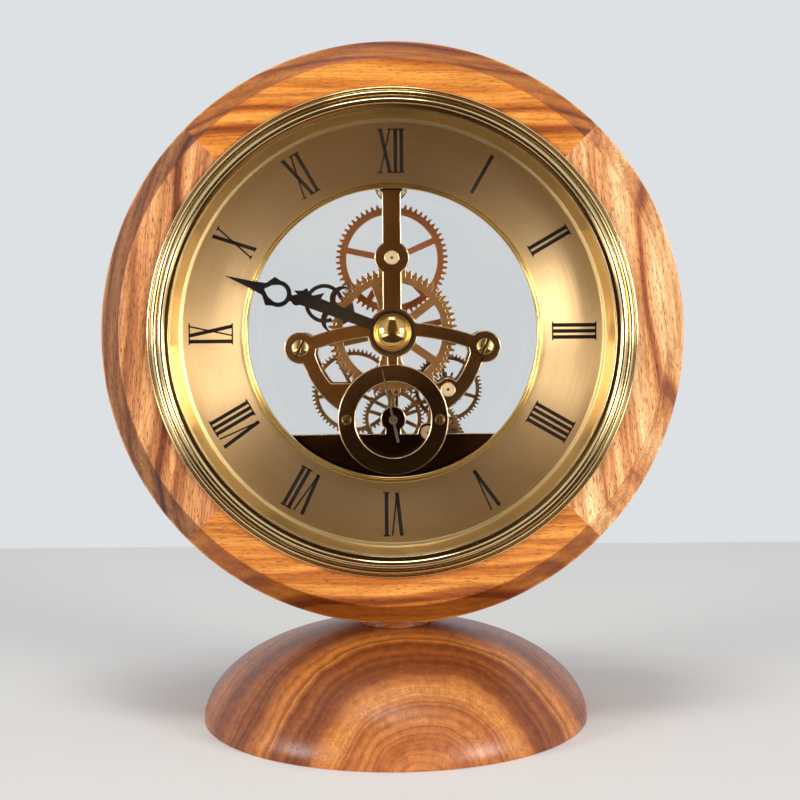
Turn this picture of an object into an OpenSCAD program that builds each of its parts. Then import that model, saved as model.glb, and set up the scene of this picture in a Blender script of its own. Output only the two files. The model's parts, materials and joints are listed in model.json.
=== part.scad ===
// Desk clock: a skeleton movement in a turned wooden ring on a half-dome base.
// Millimetres, +Z up, the dial looks along -Y, the origin is the middle of the base's underside.

/* [Base] */
// Radius of the half-dome base
base_r = 60; // [45:1:80]
// Height of the full dome before its top is cut flat
dome_h = 29; // [20:1:45]
// Radius of the neck between the dome and the ring
neck_r = 11; // [8:0.5:16]
// Height of the neck that shows between the dome and the ring
neck_h = 2.2; // [1:0.1:12]
// Shank radius of the assembly screw
stud_r = 2.2; // [1.5:0.1:3]
// Radius of the assembly screw's head
stud_head_r = 5; // [4:0.5:8]
// Depth of the counterbore under the base
stud_recess = 8; // [6:0.5:14]
// How far the assembly screw goes into the ring
stud_bite = 15; // [8:0.5:17]

/* [Wooden ring] */
// Width of the ring's wood, from its bore to its outside
ring_w = 20.8; // [17:0.2:40]
// Thickness of the ring from front to back
ring_t = 36; // [33:1:50]
// Clearance between the insert's case and the ring's bore
bore_gap = 0.3; // [0.15:0.05:1]
// Chamfer on the ring's outer edges
ring_chamfer = 6.7; // [2:0.1:9]
// Depth of the flat under the ring, where the neck is glued
ring_flat = 0.7; // [0.5:0.1:1.5]

/* [Bezel and lens] */
// Reach of the bezel's flange over the wood, beyond its sleeve
flange_w = 5.2; // [4.6:0.1:9]
// Radius of the bezel's outer bead
bead_outer = 0.6; // [0.4:0.1:0.8]
// Radius of the bezel's middle bead
bead_middle = 0.85; // [0.5:0.05:1]
// Radius of the bezel's inner bead
bead_inner = 1; // [0.6:0.05:1.2]
// Depth of the sleeve behind the flange
sleeve_l = 10; // [9:0.5:12]
// Wall of the sleeve
sleeve_t = 0.5; // [0.3:0.05:0.8]
// Radius of the glass lens
lens_r = 68.2; // [67.5:0.1:80]
// Thickness of the glass lens
lens_t = 2; // [1.5:0.1:2.4]
// Width of the lip that holds the lens from the front
lens_lip = 0.5; // [0.3:0.1:0.8]

/* [Case] */
// Width of the seat inside the case that holds the dial
dial_seat = 1; // [0.8:0.1:1.5]
// Distance from the dial's back to the back of the case
case_l = 23.4; // [23.4:0.1:26]
// Thickness of the rear frame and the rear window
rear_t = 1.5; // [1:0.1:2]
// Radius of the rear window's opening
window_r = 48; // [44:0.5:52]
// Width of the rubber grip band
band_w = 6; // [3:0.5:8]
// Thickness of the rubber grip band
band_t = 1.1; // [0.8:0.1:1.4]

/* [Dial] */
// Depth of the dial's back behind the ring's front face
dial_depth = 7.6; // [7.4:0.1:8]
// Thickness of the dial
dial_t = 0.6; // [0.4:0.1:1]
// Radius of the opening in the dial
dial_hole_r = 46.4; // [44:0.1:50]
// Width of the polished rim round the opening
rim_w = 1.9; // [1:0.1:3]
// Height of the polished rim above the dial
rim_h = 1; // [0.5:0.1:1.1]
// Width of the reflector's slope, from the lens down to the dial
reflector_w = 3.4; // [2:0.1:5]

/* [Hands] */
// Time shown by the minute hand, in minutes
minute_shown = 48.2; // [0:0.1:59.9]
// Angle of the hour hand, clockwise from twelve
hour_angle = 293.5; // [0:0.5:359.5]
// Seconds shown by the second hand
second_shown = 58; // [0:1:59]
// Thickness of the hour and minute hands
hand_t = 0.5; // [0.3:0.05:0.6]
// Length of the minute hand
minute_l = 54.4; // [50:0.2:60]
// Length of the hour hand
hour_l = 33; // [31.5:0.2:36]
// Length of the second hand
second_l = 16.1; // [10:0.1:17]
// Length of the second hand's tail
second_tail = 7.1; // [4:0.1:9]
// Radius of the dome nut
nut_r = 6; // [4.5:0.1:6.5]
// Height of the dome nut
nut_h = 3.9; // [3:0.1:4]

/* [Plates] */
// Thickness of the front and back plates
plate_t = 1.5; // [1:0.1:1.5]
// Thickness of the lower plate
lower_t = 1; // [0.8:0.1:1.2]
// Width of the vertical bar
bar_w = 5.9; // [5:0.1:7]
// Radius of the hub of the plates
hub_r = 7.9; // [7:0.1:8.5]
// Radius of the boss at the top wheel
top_boss_r = 5.4; // [4.5:0.1:6.5]
// Distance from the middle to each ear
ear_reach = 28.7; // [28:0.1:30]
// Drop of the ears below the middle
ear_drop = 4.6; // [4:0.1:6]
// Radius of the ears
ear_r = 5; // [4.2:0.1:5.5]
// Width of the arms
arm_w = 4.3; // [3.5:0.1:5.5]
// Outer radius of the crescent
crescent_r = 29.5; // [29:0.1:31]
// Width of the crescent
crescent_w = 4.6; // [3.5:0.1:6]
// Height of the top pillar above the middle
pillar_up = 47.7; // [47:0.1:49]
// Radius of the top pillar
pillar_r = 4.85; // [4:0.05:5.5]
// Radius of the two ear pillars
ear_pillar_r = 2.6; // [2.2:0.1:3.5]
// Outer radius of the seconds ring
seconds_ring_r = 17.2; // [16.6:0.1:17.6]
// Width of the seconds ring
seconds_ring_w = 5.4; // [4.5:0.1:5.6]
// Thickness of the seconds ring
seconds_ring_t = 0.8; // [0.5:0.1:1]
// Distance of the lower plate's straight edge below the middle
lower_edge = 31.7; // [31:0.1:32]
// Space between the case and the round edge of the lower plate
lower_gap = 4; // [3:0.1:4.4]

/* [Gear train] */
// Distance from the middle up to the motion wheel
motion_up = 23.3; // [23:0.1:24]
// Distance from the middle down to the seconds arbor
seconds_down = 27.1; // [27:0.05:27.4]
// Tooth module of the centre wheel and what it meets
centre_m = 0.62; // [0.615:0.005:0.625]
// Tooth module of the third wheel and the seconds pinion
third_m = 0.44; // [0.435:0.005:0.445]
// Tooth module of the seconds wheel and the drive pinion
seconds_m = 0.39; // [0.385:0.005:0.395]
// Tooth module of the drive wheel and the rotor's pinion
drive_m = 0.35; // [0.345:0.005:0.355]
// Tooth module of the transfer and setting wheels
setting_m = 0.4; // [0.395:0.005:0.405]

/* [Wheels and arbors] */
// Thickness of the motion wheel and the hour wheel
wheel_t = 1.2; // [1:0.05:1.3]
// Thickness of the centre wheel
centre_t = 1.1; // [0.9:0.05:1.2]
// Thickness of the third, transfer and setting wheels
third_t = 1; // [0.8:0.05:1.1]
// Thickness of the seconds wheel
seconds_t = 0.8; // [0.6:0.05:0.9]
// Thickness of the drive wheel
drive_t = 0.75; // [0.6:0.05:0.8]
// Width of a large wheel's rim under its teeth
rim_band = 2.2; // [1.6:0.1:3]
// Width of a small wheel's rim under its teeth
small_rim_band = 1.2; // [0.8:0.1:1.6]
// Width of the spokes of the large wheels
spoke_w = 2; // [1.4:0.1:2.8]
// Width of the spokes of the small wheels
small_spoke_w = 1.2; // [0.8:0.1:1.6]
// Radius of the minute arbor
minute_arbor_r = 1.7; // [1.5:0.05:1.8]
// Radius of the hour pipe
hour_pipe_r = 2.9; // [2.7:0.05:3]
// Radius of the thin arbors
arbor_r = 0.6; // [0.5:0.05:0.7]
// Radius of the pivots at the ends of the thin arbors
pivot_r = 0.4; // [0.3:0.05:0.45]
// Radius of the pressed bushings in the plates
bush_r = 2; // [1.6:0.1:2.2]
// Running clearance round every arbor
running = 0.08; // [0.05:0.01:0.1]
// Radius of the setting stem
stem_r = 1.2; // [1:0.1:1.4]
// Radius of the setting knob
knob_r = 5; // [4:0.1:6]
// Length of the setting knob
knob_l = 3; // [2:0.1:4]

/* [Movement housing] */
// Radius of the cell
cell_r = 5.25; // [4.5:0.05:5.25]
// Length of the cell
cell_l = 44.5; // [40:0.5:44.5]
// Clearance between the corners of the cell's bay and the housing's wall
cell_gap = 0.23; // [0.15:0.01:0.4]
// Wall of the movement housing
housing_wall = 1.4; // [1:0.1:1.8]
// Radius of the coil's winding
coil_r = 2.9; // [2:0.1:2.9]
// Length of the coil's winding
coil_l = 13; // [10:0.5:14]
// Radius of the rotor's magnet
magnet_r = 2.6; // [2:0.1:2.8]

/* [Hidden] */
$fn = 64;
eps = 0.01;

// Radii that follow from the lens: it sets the insert, and the insert sets the wooden ring
fit = 0.2;
sleeve_r = lens_r + fit + sleeve_t;
bezel_r = sleeve_r + flange_w;
bore_r = sleeve_r + bore_gap;
ring_r = bore_r + ring_w;
reflector_r = lens_r - reflector_w;
case_in = lens_r - fit - dial_seat;
lower_r = case_in - lower_gap;
contact_gap = 1.6;
cell_reach = cell_l / 2 + contact_gap;
cell_down = sqrt((lower_r - housing_wall - cell_gap) ^ 2 - cell_reach ^ 2) - cell_r;

// Tooth counts; 64 to 8 and 60 to 8 turn the seconds arbor 60 times in an hour, and 20 to 60 and
// 15 to 60 turn the hour pipe once in twelve
centre_teeth = 64;
third_leaves = 8;
third_teeth = 60;
seconds_leaves = 8;
seconds_teeth = 48;
drive_leaves = 12;
drive_teeth = 60;
rotor_leaves = 8;
cannon_teeth = 20;
motion_teeth = 60;
motion_leaves = 15;
hour_teeth = 60;
transfer_leaves = 16;
transfer_teeth = 54;
setting_teeth = 24;

// Levels along the clock's axis, counted towards the viewer from the middle of the ring
flange_z = ring_t / 2;
sleeve_z = flange_z - sleeve_l;
lens_z = flange_z + 0.4;
dial_back_z = flange_z - dial_depth;
dial_z = dial_back_z + dial_t;
case_back_z = dial_back_z - case_l;
rear_z = case_back_z + rear_t;
front_plate_z = dial_back_z - 4.2;
seconds_ring_z = front_plate_z + plate_t;
lower_plate_z = front_plate_z - 2.6;
hour_wheel_z = front_plate_z - 2;
seconds_wheel_z = front_plate_z - 3.8;
centre_wheel_z = front_plate_z - 5.2;
drive_wheel_z = front_plate_z - 6.1;
bridge_z = front_plate_z - 7;
third_wheel_z = front_plate_z - 8.4;
coil_z = front_plate_z - 9;
stator_z = front_plate_z - 9.4;
magnet_z = front_plate_z - 9.7;
rotor_seat_z = front_plate_z - 10.1;
cell_z = front_plate_z - 10.6;
motion_wheel_z = front_plate_z - 11.6;
board_z = front_plate_z - 12.2;
back_face_z = front_plate_z - 12.9;
back_plate_z = back_face_z - plate_t;
hour_hand_z = dial_back_z + 1.8;
minute_hand_z = hour_hand_z + 1.4;
nut_z = minute_hand_z + hand_t;
second_hand_z = seconds_ring_z + seconds_ring_t + 0.7;
second_hand_t = 0.25;

// Places of the arbors, seen from the front, with the middle of the dial at [0, 0]
function polar(r, a) = [r * cos(a), r * sin(a)];
function mesh_distance(m, a, b) = m * (a + b) / 2;
motion_pos = [0, motion_up];
cannon_m = 2 * motion_up / (cannon_teeth + motion_teeth);
hour_m = 2 * motion_up / (motion_leaves + hour_teeth);
seconds_pos = [0, -seconds_down];
third_to_centre = mesh_distance(centre_m, centre_teeth, third_leaves);
third_to_seconds = mesh_distance(third_m, third_teeth, seconds_leaves);
third_below = (third_to_centre ^ 2 - third_to_seconds ^ 2 + seconds_down ^ 2) / (2 * seconds_down);
third_pos = [-sqrt(third_to_centre ^ 2 - third_below ^ 2), -third_below];
transfer_turn = -46.2;
transfer_pos = polar(mesh_distance(centre_m, centre_teeth, transfer_leaves), transfer_turn);
drive_turn = -22;
drive_pos = seconds_pos + polar(mesh_distance(seconds_m, seconds_teeth, drive_leaves), drive_turn);
rotor_turn = -115;
rotor_pos = drive_pos + polar(mesh_distance(drive_m, drive_teeth, rotor_leaves), rotor_turn);
setting_turn = -88;
setting_pos = transfer_pos + polar(mesh_distance(setting_m, transfer_teeth, setting_teeth), setting_turn);

// Turn of a wheel so that its gap faces the tooth of the wheel that it meets
function mesh_turn(dir, turn_a, teeth_a, teeth_b) =
  dir + 180 + 360 / teeth_b * (0.5 + (dir - turn_a) * teeth_a / 360);
function direction(a, b) = atan2(b[1] - a[1], b[0] - a[0]);

module in_ring() {
  translate([0, 0, ring_z])
    rotate([90, 0, 0])
      children();
}

module at(pos, z) {
  translate([pos[0], pos[1], z])
    children();
}

module disc(r, z0, z1) {
  translate([0, 0, z0])
    cylinder(r = r, h = z1 - z0);
}

// Stand

neck_seat = dome_h * sqrt(1 - (neck_r / base_r) ^ 2);
ring_z = neck_seat + neck_h + ring_r - ring_flat;
stud_clear = 0.3;
screw_fit = 0.05;

module dome_base() color("#a5652f")
  difference() {
    intersection() {
      scale([base_r, base_r, dome_h])
        sphere(r = 1);
      cylinder(r = base_r + 1, h = neck_seat);
    }
    disc(stud_r + stud_clear, -1, neck_seat + 1);
    disc(stud_head_r + stud_clear, -1, stud_recess);
  }

module neck() color("#b5703a")
  difference() {
    disc(neck_r, neck_seat, neck_seat + neck_h);
    disc(stud_r + stud_clear, neck_seat - 1, neck_seat + neck_h + 1);
  }

stud_head_h = 3;
module assembly_screw() color("#8d8f91")
  difference() {
    union() {
      disc(stud_head_r, stud_recess - stud_head_h, stud_recess);
      disc(stud_r, stud_recess - eps, neck_seat + neck_h + stud_bite);
    }
    translate([0, 0, stud_recess - stud_head_h])
      cube([1.2, 2 * stud_head_r + 1, 2.4], center = true);
  }

// One quarter of the turned ring, from angle start, with chamfers front and back
module ring_quarter(start) {
  back = -ring_t / 2;
  rotate_extrude(angle = 90, start = start, $fn = 128)
    polygon([
      [bore_r, back], [ring_r - ring_chamfer, back], [ring_r, back + ring_chamfer],
      [ring_r, flange_z - ring_chamfer], [ring_r - ring_chamfer, flange_z], [bore_r, flange_z]
    ]);
}

module ring_segment_top() color("#c98845")
  in_ring()
    ring_quarter(45);

module ring_segment_left() color("#b97a3d")
  in_ring()
    ring_quarter(135);

module ring_segment_bottom() color("#c98845")
  difference() {
    in_ring()
      ring_quarter(225);
    translate([0, 0, neck_seat + neck_h - ring_r])
      cube(2 * ring_r, center = true);
    disc(stud_r + screw_fit, 0, neck_seat + neck_h + stud_bite + 0.5);
  }

module ring_segment_right() color("#b97a3d")
  in_ring()
    ring_quarter(315);

// Bezel, lens, reflector and dial

lip_z = lens_z + lens_t;
inner_bead_r = lens_r + 1.7;
middle_bead_r = inner_bead_r + bead_inner + bead_middle + 0.55;
module bezel() color("#c9a24a")
  in_ring()
    rotate_extrude($fn = 128)
      union() {
        polygon([
          [lens_r + fit, sleeve_z], [sleeve_r, sleeve_z], [sleeve_r, flange_z],
          [bezel_r, flange_z], [bezel_r, flange_z + 1], [middle_bead_r, flange_z + 1],
          [middle_bead_r, flange_z + 2.1], [inner_bead_r, flange_z + 2.1],
          [inner_bead_r, lip_z + 0.6], [lens_r - lens_lip, lip_z + 0.6],
          [lens_r - lens_lip, lip_z], [lens_r + fit, lip_z]
        ]);
        translate([bezel_r - bead_outer * 0.2, flange_z + 1])
          circle(r = bead_outer, $fn = 32);
        translate([middle_bead_r, flange_z + 2.1])
          circle(r = bead_middle, $fn = 32);
        translate([inner_bead_r, lip_z + 0.6])
          circle(r = bead_inner, $fn = 32);
      }

module lens() color("#dfe8ea", 0.25)
  in_ring()
    disc(lens_r, lens_z, lip_z);

module reflector_ring() color("#b8923f")
  in_ring()
    rotate_extrude($fn = 128)
      polygon([
        [reflector_r, dial_z], [lens_r - fit, dial_z],
        [lens_r - fit, lens_z], [lens_r - fit - 0.5, lens_z]
      ]);

module dial() color("#cdb98c")
  in_ring()
    difference() {
      disc(lens_r - fit, dial_back_z, dial_z);
      disc(dial_hole_r, dial_back_z - 1, dial_z + 1);
    }

rim_foot = 0.6;
module dial_rim() color("#d8b65c")
  in_ring()
    rotate_extrude($fn = 128)
      polygon([
        [dial_hole_r - rim_w, dial_back_z - rim_foot], [dial_hole_r + 1.2, dial_back_z - rim_foot],
        [dial_hole_r + 1.2, dial_back_z], [dial_hole_r, dial_back_z], [dial_hole_r, dial_z],
        [dial_hole_r - 0.3 * rim_w, dial_z + rim_h], [dial_hole_r - 0.7 * rim_w, dial_z + rim_h],
        [dial_hole_r - rim_w, dial_z + 0.4 * rim_h]
      ]);

// Case

case_r = sleeve_r;
band_z = sleeve_z - 1.5 - band_w;
groove_r = bore_r - 0.1 - band_t;
case_boss_turns = [40, 140, 195, 345];
case_boss_r = 2.6;
case_boss_at = case_in - 1.6;
case_boss_l = 8;
rear_screw_r = 1;
rear_screw_l = 4;
post_r = 1.7;
bridge_posts = [[-1.5, -37], [23.5, -38]];
rear_screw_spots = concat(
  [for (a = case_boss_turns) polar(case_boss_at, a)], [[0, pillar_up]], bridge_posts
);

module rear_screw_holes(r, z0, z1) {
  for (spot = rear_screw_spots)
    at(spot, 0)
      disc(r, z0, z1);
}

module case_shell() color("#2c2a27")
  in_ring()
    difference() {
      union() {
        rotate_extrude($fn = 128)
          polygon([
            [case_in, case_back_z], [case_r, case_back_z], [case_r, band_z],
            [groove_r, band_z], [groove_r, band_z + band_w], [case_r, band_z + band_w],
            [case_r, sleeve_z], [lens_r - fit, sleeve_z], [lens_r - fit, dial_back_z],
            [case_in, dial_back_z]
          ]);
        intersection() {
          for (a = case_boss_turns)
            at(polar(case_boss_at, a), rear_z)
              cylinder(r = case_boss_r, h = case_boss_l);
          disc(case_in + eps, rear_z, rear_z + case_boss_l);
        }
      }
      rear_screw_holes(rear_screw_r + screw_fit, rear_z - 1, rear_z + rear_screw_l + 1);
    }

module grip_band() color("#1b1b1b")
  in_ring()
    difference() {
      disc(groove_r + band_t, band_z, band_z + band_w);
      disc(groove_r, band_z - 1, band_z + band_w + 1);
    }

housing_top = lower_edge + 1.5;
window_edge = 0.1 - housing_top;
window_ledge = 1.5;
window_gap = 0.15;
tab_rim = 0.5;
tab_r = pillar_r + tab_rim;
stem_tab_r = stem_r + 2.2;
frame_r = case_in - 0.1;
door_w = cell_l + 3;
door_h = 2 * cell_r + 1.6;
door_gap = 0.3;

// Opening of the rear frame, a circle cut off at the housing, less tabs for the pillar and the stem
module window_shape(grow) {
  difference() {
    intersection() {
      circle(r = window_r + grow, $fn = 128);
      translate([-lower_r, window_edge - grow])
        square([2 * lower_r, 2 * lower_r]);
    }
    translate([0, pillar_up])
      circle(r = tab_r - grow);
    translate(setting_pos)
      circle(r = stem_tab_r - grow);
  }
}

module rear_frame() color("#35322e")
  in_ring()
    difference() {
      disc(frame_r, case_back_z, rear_z);
      translate([0, 0, case_back_z - 1])
        linear_extrude(rear_t + 2)
          window_shape(0);
      translate([0, 0, case_back_z + rear_t / 2])
        linear_extrude(rear_t)
          window_shape(window_ledge + window_gap);
      at([-door_w / 2 - door_gap, -cell_down - door_h / 2 - door_gap], case_back_z - 1)
        cube([door_w + 2 * door_gap, door_h + 2 * door_gap, rear_t + 2]);
      at(setting_pos, case_back_z - 1)
        cylinder(r = stem_r + running, h = rear_t + 2);
      rear_screw_holes(rear_screw_r + screw_fit, case_back_z - 1, rear_z + 1);
    }

module rear_window() color("#e6eef0", 0.25)
  in_ring()
    translate([0, 0, case_back_z + rear_t / 2])
      linear_extrude(rear_t / 2)
        window_shape(window_ledge);

rear_head_t = 1;
rear_slot_w = 0.6;
module rear_screws() color("#a8a9ab")
  in_ring()
    for (spot = rear_screw_spots)
      at(spot, case_back_z)
        difference() {
          union() {
            disc(2 * rear_screw_r, -rear_head_t, 0);
            disc(rear_screw_r, -rear_head_t, rear_t + rear_screw_l);
          }
          translate([0, 0, -rear_head_t])
            cube([rear_slot_w, 5 * rear_screw_r, rear_head_t], center = true);
        }

rib_w = 6;
rib_t = 1.2;
rib_h = 0.8;
module battery_door() color("#35322e")
  in_ring()
    union() {
      at([-door_w / 2, -cell_down - door_h / 2], case_back_z)
        cube([door_w, door_h, rear_t]);
      for (side = [-1, 1])
        at([side * door_w / 4 - rib_w / 2, -cell_down - rib_t / 2], case_back_z - rib_h)
          cube([rib_w, rib_t, rib_h + eps]);
    }

// Plates

seat_in = seconds_ring_r - seconds_ring_w + 0.4;
seat_out = seconds_ring_r - 0.6;
stalk_w = 3.4;
arm_bow_r = 74.4;
arm_bow_up = 1.2;
shoulder = 15.7;
seconds_boss_r = 2.5;
ear_screw_r = 1.3;
ring_screw_at = seconds_ring_r - seconds_ring_w / 2;
ring_screw_r = 0.8;
bushed_spots = [motion_pos, third_pos, transfer_pos];

// Outline that the front and back plates share, with a round gap at the seconds arbor
module plate_outline() {
  difference() {
    union() {
      circle(r = hub_r);
      translate(motion_pos)
        circle(r = top_boss_r);
      translate(transfer_pos)
        circle(r = bush_r + 1.6);
      translate([0, pillar_up])
        circle(r = pillar_r + 0.4);
      translate([-bar_w / 2, 0])
        square([bar_w, pillar_up]);
      translate([-stalk_w / 2, -seconds_down])
        square([stalk_w, seconds_down]);
      for (side = [-1, 1])
        translate([side * ear_reach, -ear_drop])
          circle(r = ear_r);
      intersection() {
        translate([0, arm_bow_up - arm_bow_r])
          difference() {
            circle(r = arm_bow_r + arm_w / 2, $fn = 128);
            circle(r = arm_bow_r - arm_w / 2, $fn = 128);
          }
        translate([-ear_reach, -2 * ear_drop])
          square([2 * ear_reach, 4 * ear_drop]);
      }
      intersection() {
        circle(r = crescent_r, $fn = 128);
        translate([-crescent_r, -crescent_r])
          square([2 * crescent_r, crescent_r - shoulder]);
      }
      intersection() {
        difference() {
          circle(r = crescent_r, $fn = 128);
          circle(r = crescent_r - crescent_w, $fn = 128);
        }
        translate([-crescent_r, -crescent_r])
          square([2 * crescent_r, crescent_r - ear_drop]);
      }
    }
    translate(seconds_pos)
      circle(r = seat_in, $fn = 96);
  }
}

module ear_holes(z0, z1) {
  for (side = [-1, 1])
    at([side * ear_reach, -ear_drop], 0)
      disc(ear_screw_r + screw_fit, z0, z1);
}

module front_plate() color("#8a6a34")
  in_ring()
    difference() {
      translate([0, 0, front_plate_z])
        linear_extrude(plate_t)
          union() {
            plate_outline();
            translate(seconds_pos)
              difference() {
                circle(r = seat_out, $fn = 96);
                circle(r = seat_in, $fn = 96);
              }
          }
      disc(hour_pipe_r + running, front_plate_z - 1, seconds_ring_z + 1);
      for (spot = bushed_spots)
        at(spot, 0)
          disc(bush_r, front_plate_z - 1, seconds_ring_z + 1);
      ear_holes(front_plate_z - 1, seconds_ring_z + 1);
      at([0, pillar_up], 0)
        disc(ear_screw_r + screw_fit, front_plate_z - 1, seconds_ring_z + 1);
      for (side = [-1, 1])
        at(seconds_pos + [side * ring_screw_at, 0], 0)
          disc(ring_screw_r + screw_fit, front_plate_z - 1, seconds_ring_z + 1);
    }

// The back plate ends in a boss for the rear pivot of the seconds arbor
module back_plate() color("#7d6130")
  in_ring()
    difference() {
      translate([0, 0, back_plate_z])
        linear_extrude(plate_t)
          union() {
            plate_outline();
            translate([-stalk_w / 2, -seconds_down])
              square([stalk_w, seconds_down]);
            translate(seconds_pos)
              circle(r = seconds_boss_r);
          }
      disc(minute_arbor_r + running, back_plate_z - 1, back_face_z + 1);
      for (spot = concat(bushed_spots, [seconds_pos]))
        at(spot, 0)
          disc(pivot_r + running, back_plate_z - 1, back_face_z + 1);
      ear_holes(back_plate_z - 1, back_face_z + 1);
      at([0, pillar_up], 0)
        disc(pillar_stud_r + screw_fit, back_plate_z - 1, back_face_z + 1);
    }

omega_r = 4;
drive_boss_r = 3.2;
module lower_plate() color("#5b4227")
  in_ring()
    difference() {
      translate([0, 0, lower_plate_z])
        linear_extrude(lower_t)
          union() {
            intersection() {
              circle(r = lower_r, $fn = 128);
              translate([-lower_r, -lower_r])
                square([2 * lower_r, lower_r - lower_edge]);
            }
            translate(seconds_pos)
              circle(r = omega_r);
            translate([-0.62 * omega_r, -lower_edge - 1])
              square([1.24 * omega_r, lower_edge - seconds_down + 1]);
            translate(drive_pos)
              circle(r = drive_boss_r);
          }
      at(seconds_pos, 0)
        disc(arbor_r + running, lower_plate_z - 1, front_plate_z);
      at(drive_pos, 0)
        disc(bush_r, lower_plate_z - 1, front_plate_z);
      at(rotor_pos, 0)
        disc(pivot_r + running, lower_plate_z - 1, front_plate_z);
    }

lower_post_r = 1.6;
pillar_stud_r = 3;
pillar_bore_l = 6;
ear_screw_l = 5;
module plate_pillars() color("#b08a3e")
  in_ring()
    union() {
      at([0, pillar_up], 0)
        difference() {
          union() {
            disc(pillar_r, back_face_z, front_plate_z);
            disc(pillar_stud_r, rear_z, back_face_z + eps);
          }
          disc(ear_screw_r + screw_fit, front_plate_z - pillar_bore_l, front_plate_z + 1);
          disc(rear_screw_r + screw_fit, rear_z - 1, rear_z + rear_screw_l + 1);
        }
      at([0, pillar_up], 0)
        difference() {
          disc(pillar_r, rear_z, back_plate_z);
          disc(pillar_stud_r + screw_fit, rear_z - 1, back_plate_z + 1);
        }
      for (side = [-1, 1])
        at([side * ear_reach, -ear_drop], 0)
          difference() {
            disc(ear_pillar_r, back_face_z, front_plate_z);
            disc(ear_screw_r + screw_fit, back_plate_z, front_plate_z + 1);
          }
      at(seconds_pos + [0, -ring_screw_at], 0)
        disc(lower_post_r, lower_plate_z + lower_t, front_plate_z);
    }

ear_head_r = 2.9;
ear_head_h = 1.5;
slot_w = 0.8;
slot_turn = 66;

// Round-headed slotted screw, its head standing on z = 0 and its shank below
module slotted_screw(head_r, head_h, shank_r, shank_l, slot, turn) {
  dome_r = (head_r ^ 2 + (head_h / 2) ^ 2) / head_h;
  difference() {
    union() {
      cylinder(r = head_r, h = head_h / 2);
      intersection() {
        translate([0, 0, head_h - dome_r])
          sphere(r = dome_r);
        disc(head_r, head_h / 2 - eps, head_h + 1);
      }
      disc(shank_r, -shank_l, eps);
    }
    rotate([0, 0, turn])
      translate([-head_r - 1, -slot / 2, head_h / 2])
        cube([2 * head_r + 2, slot, head_h]);
  }
}

module ear_screw() {
  slotted_screw(ear_head_r, ear_head_h, ear_screw_r, plate_t + ear_screw_l, slot_w, slot_turn);
}

module plate_screws() color("#d9b456")
  in_ring()
    union() {
      for (side = [-1, 1]) {
        at([side * ear_reach, -ear_drop], seconds_ring_z)
          ear_screw();
        at([side * ear_reach, -ear_drop], back_plate_z)
          rotate([180, 0, 0])
            ear_screw();
      }
      at([0, pillar_up], seconds_ring_z)
        ear_screw();
    }

module seconds_ring() color("#6f5a37")
  in_ring()
    at(seconds_pos, seconds_ring_z)
      difference() {
        cylinder(r = seconds_ring_r, h = seconds_ring_t, $fn = 96);
        disc(seconds_ring_r - seconds_ring_w, -1, seconds_ring_t + 1, $fn = 96);
        for (side = [-1, 1])
          at([side * ring_screw_at, 0], 0)
            disc(ring_screw_r + screw_fit, -1, seconds_ring_t + 1);
      }

ring_head_r = 1.7;
ring_head_h = 0.5;
ring_slot_w = 0.5;
ring_slot_turns = [52, 102];
module seconds_ring_screws() color("#cfae5f")
  in_ring()
    for (i = [0, 1])
      at(seconds_pos + [(2 * i - 1) * ring_screw_at, 0], seconds_ring_z + seconds_ring_t)
        slotted_screw(ring_head_r, ring_head_h, ring_screw_r, plate_t + seconds_ring_t,
          ring_slot_w, ring_slot_turns[i]);

module bush(pos, z, t) {
  at(pos, z)
    difference() {
      cylinder(r = bush_r, h = t);
      disc(pivot_r + running, -1, t + 1);
    }
}

module bushings() color("#efe0bf")
  in_ring()
    union() {
      for (spot = bushed_spots)
        bush(spot, front_plate_z, plate_t);
      bush(drive_pos, lower_plate_z, lower_t);
    }

// Movement housing and the parts of the motor

housing_bay = 26.5;
floor_t = 1.2;
coil_pos = [-12, -39.6];
coil_flange = 0.8;
bridge_t = 0.8;
bridge_boss_r = 2.6;
bridge_arm_w = 3;
board_at = [26, -45];
board_w = 12.5;
board_h = 9;
board_t = 0.8;
board_posts = [board_at + [1.5, board_h - 2.5], board_at + [board_w - 3.5, 2]];
stator_posts = [[-20.4, -41.4], rotor_pos + polar(4.3, 60)];
thin_post_r = 1;
rotor_boss_r = 1.4;
cradle_t = 1.2;
cradle_w = 2 * cell_r - 1;
cradle_h = 2 * cell_r + 0.5;
coil_foot = [5, 2];
bay_ledge = 1;
bay_gap = 0.4;
top_wall_l = sqrt(lower_r ^ 2 - (housing_top + housing_wall) ^ 2) - housing_wall / 2 - housing_bay;

module segment_shape(r) {
  intersection() {
    circle(r = r, $fn = 128);
    translate([-lower_r, -lower_r])
      square([2 * lower_r, lower_r - housing_top]);
  }
}

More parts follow.
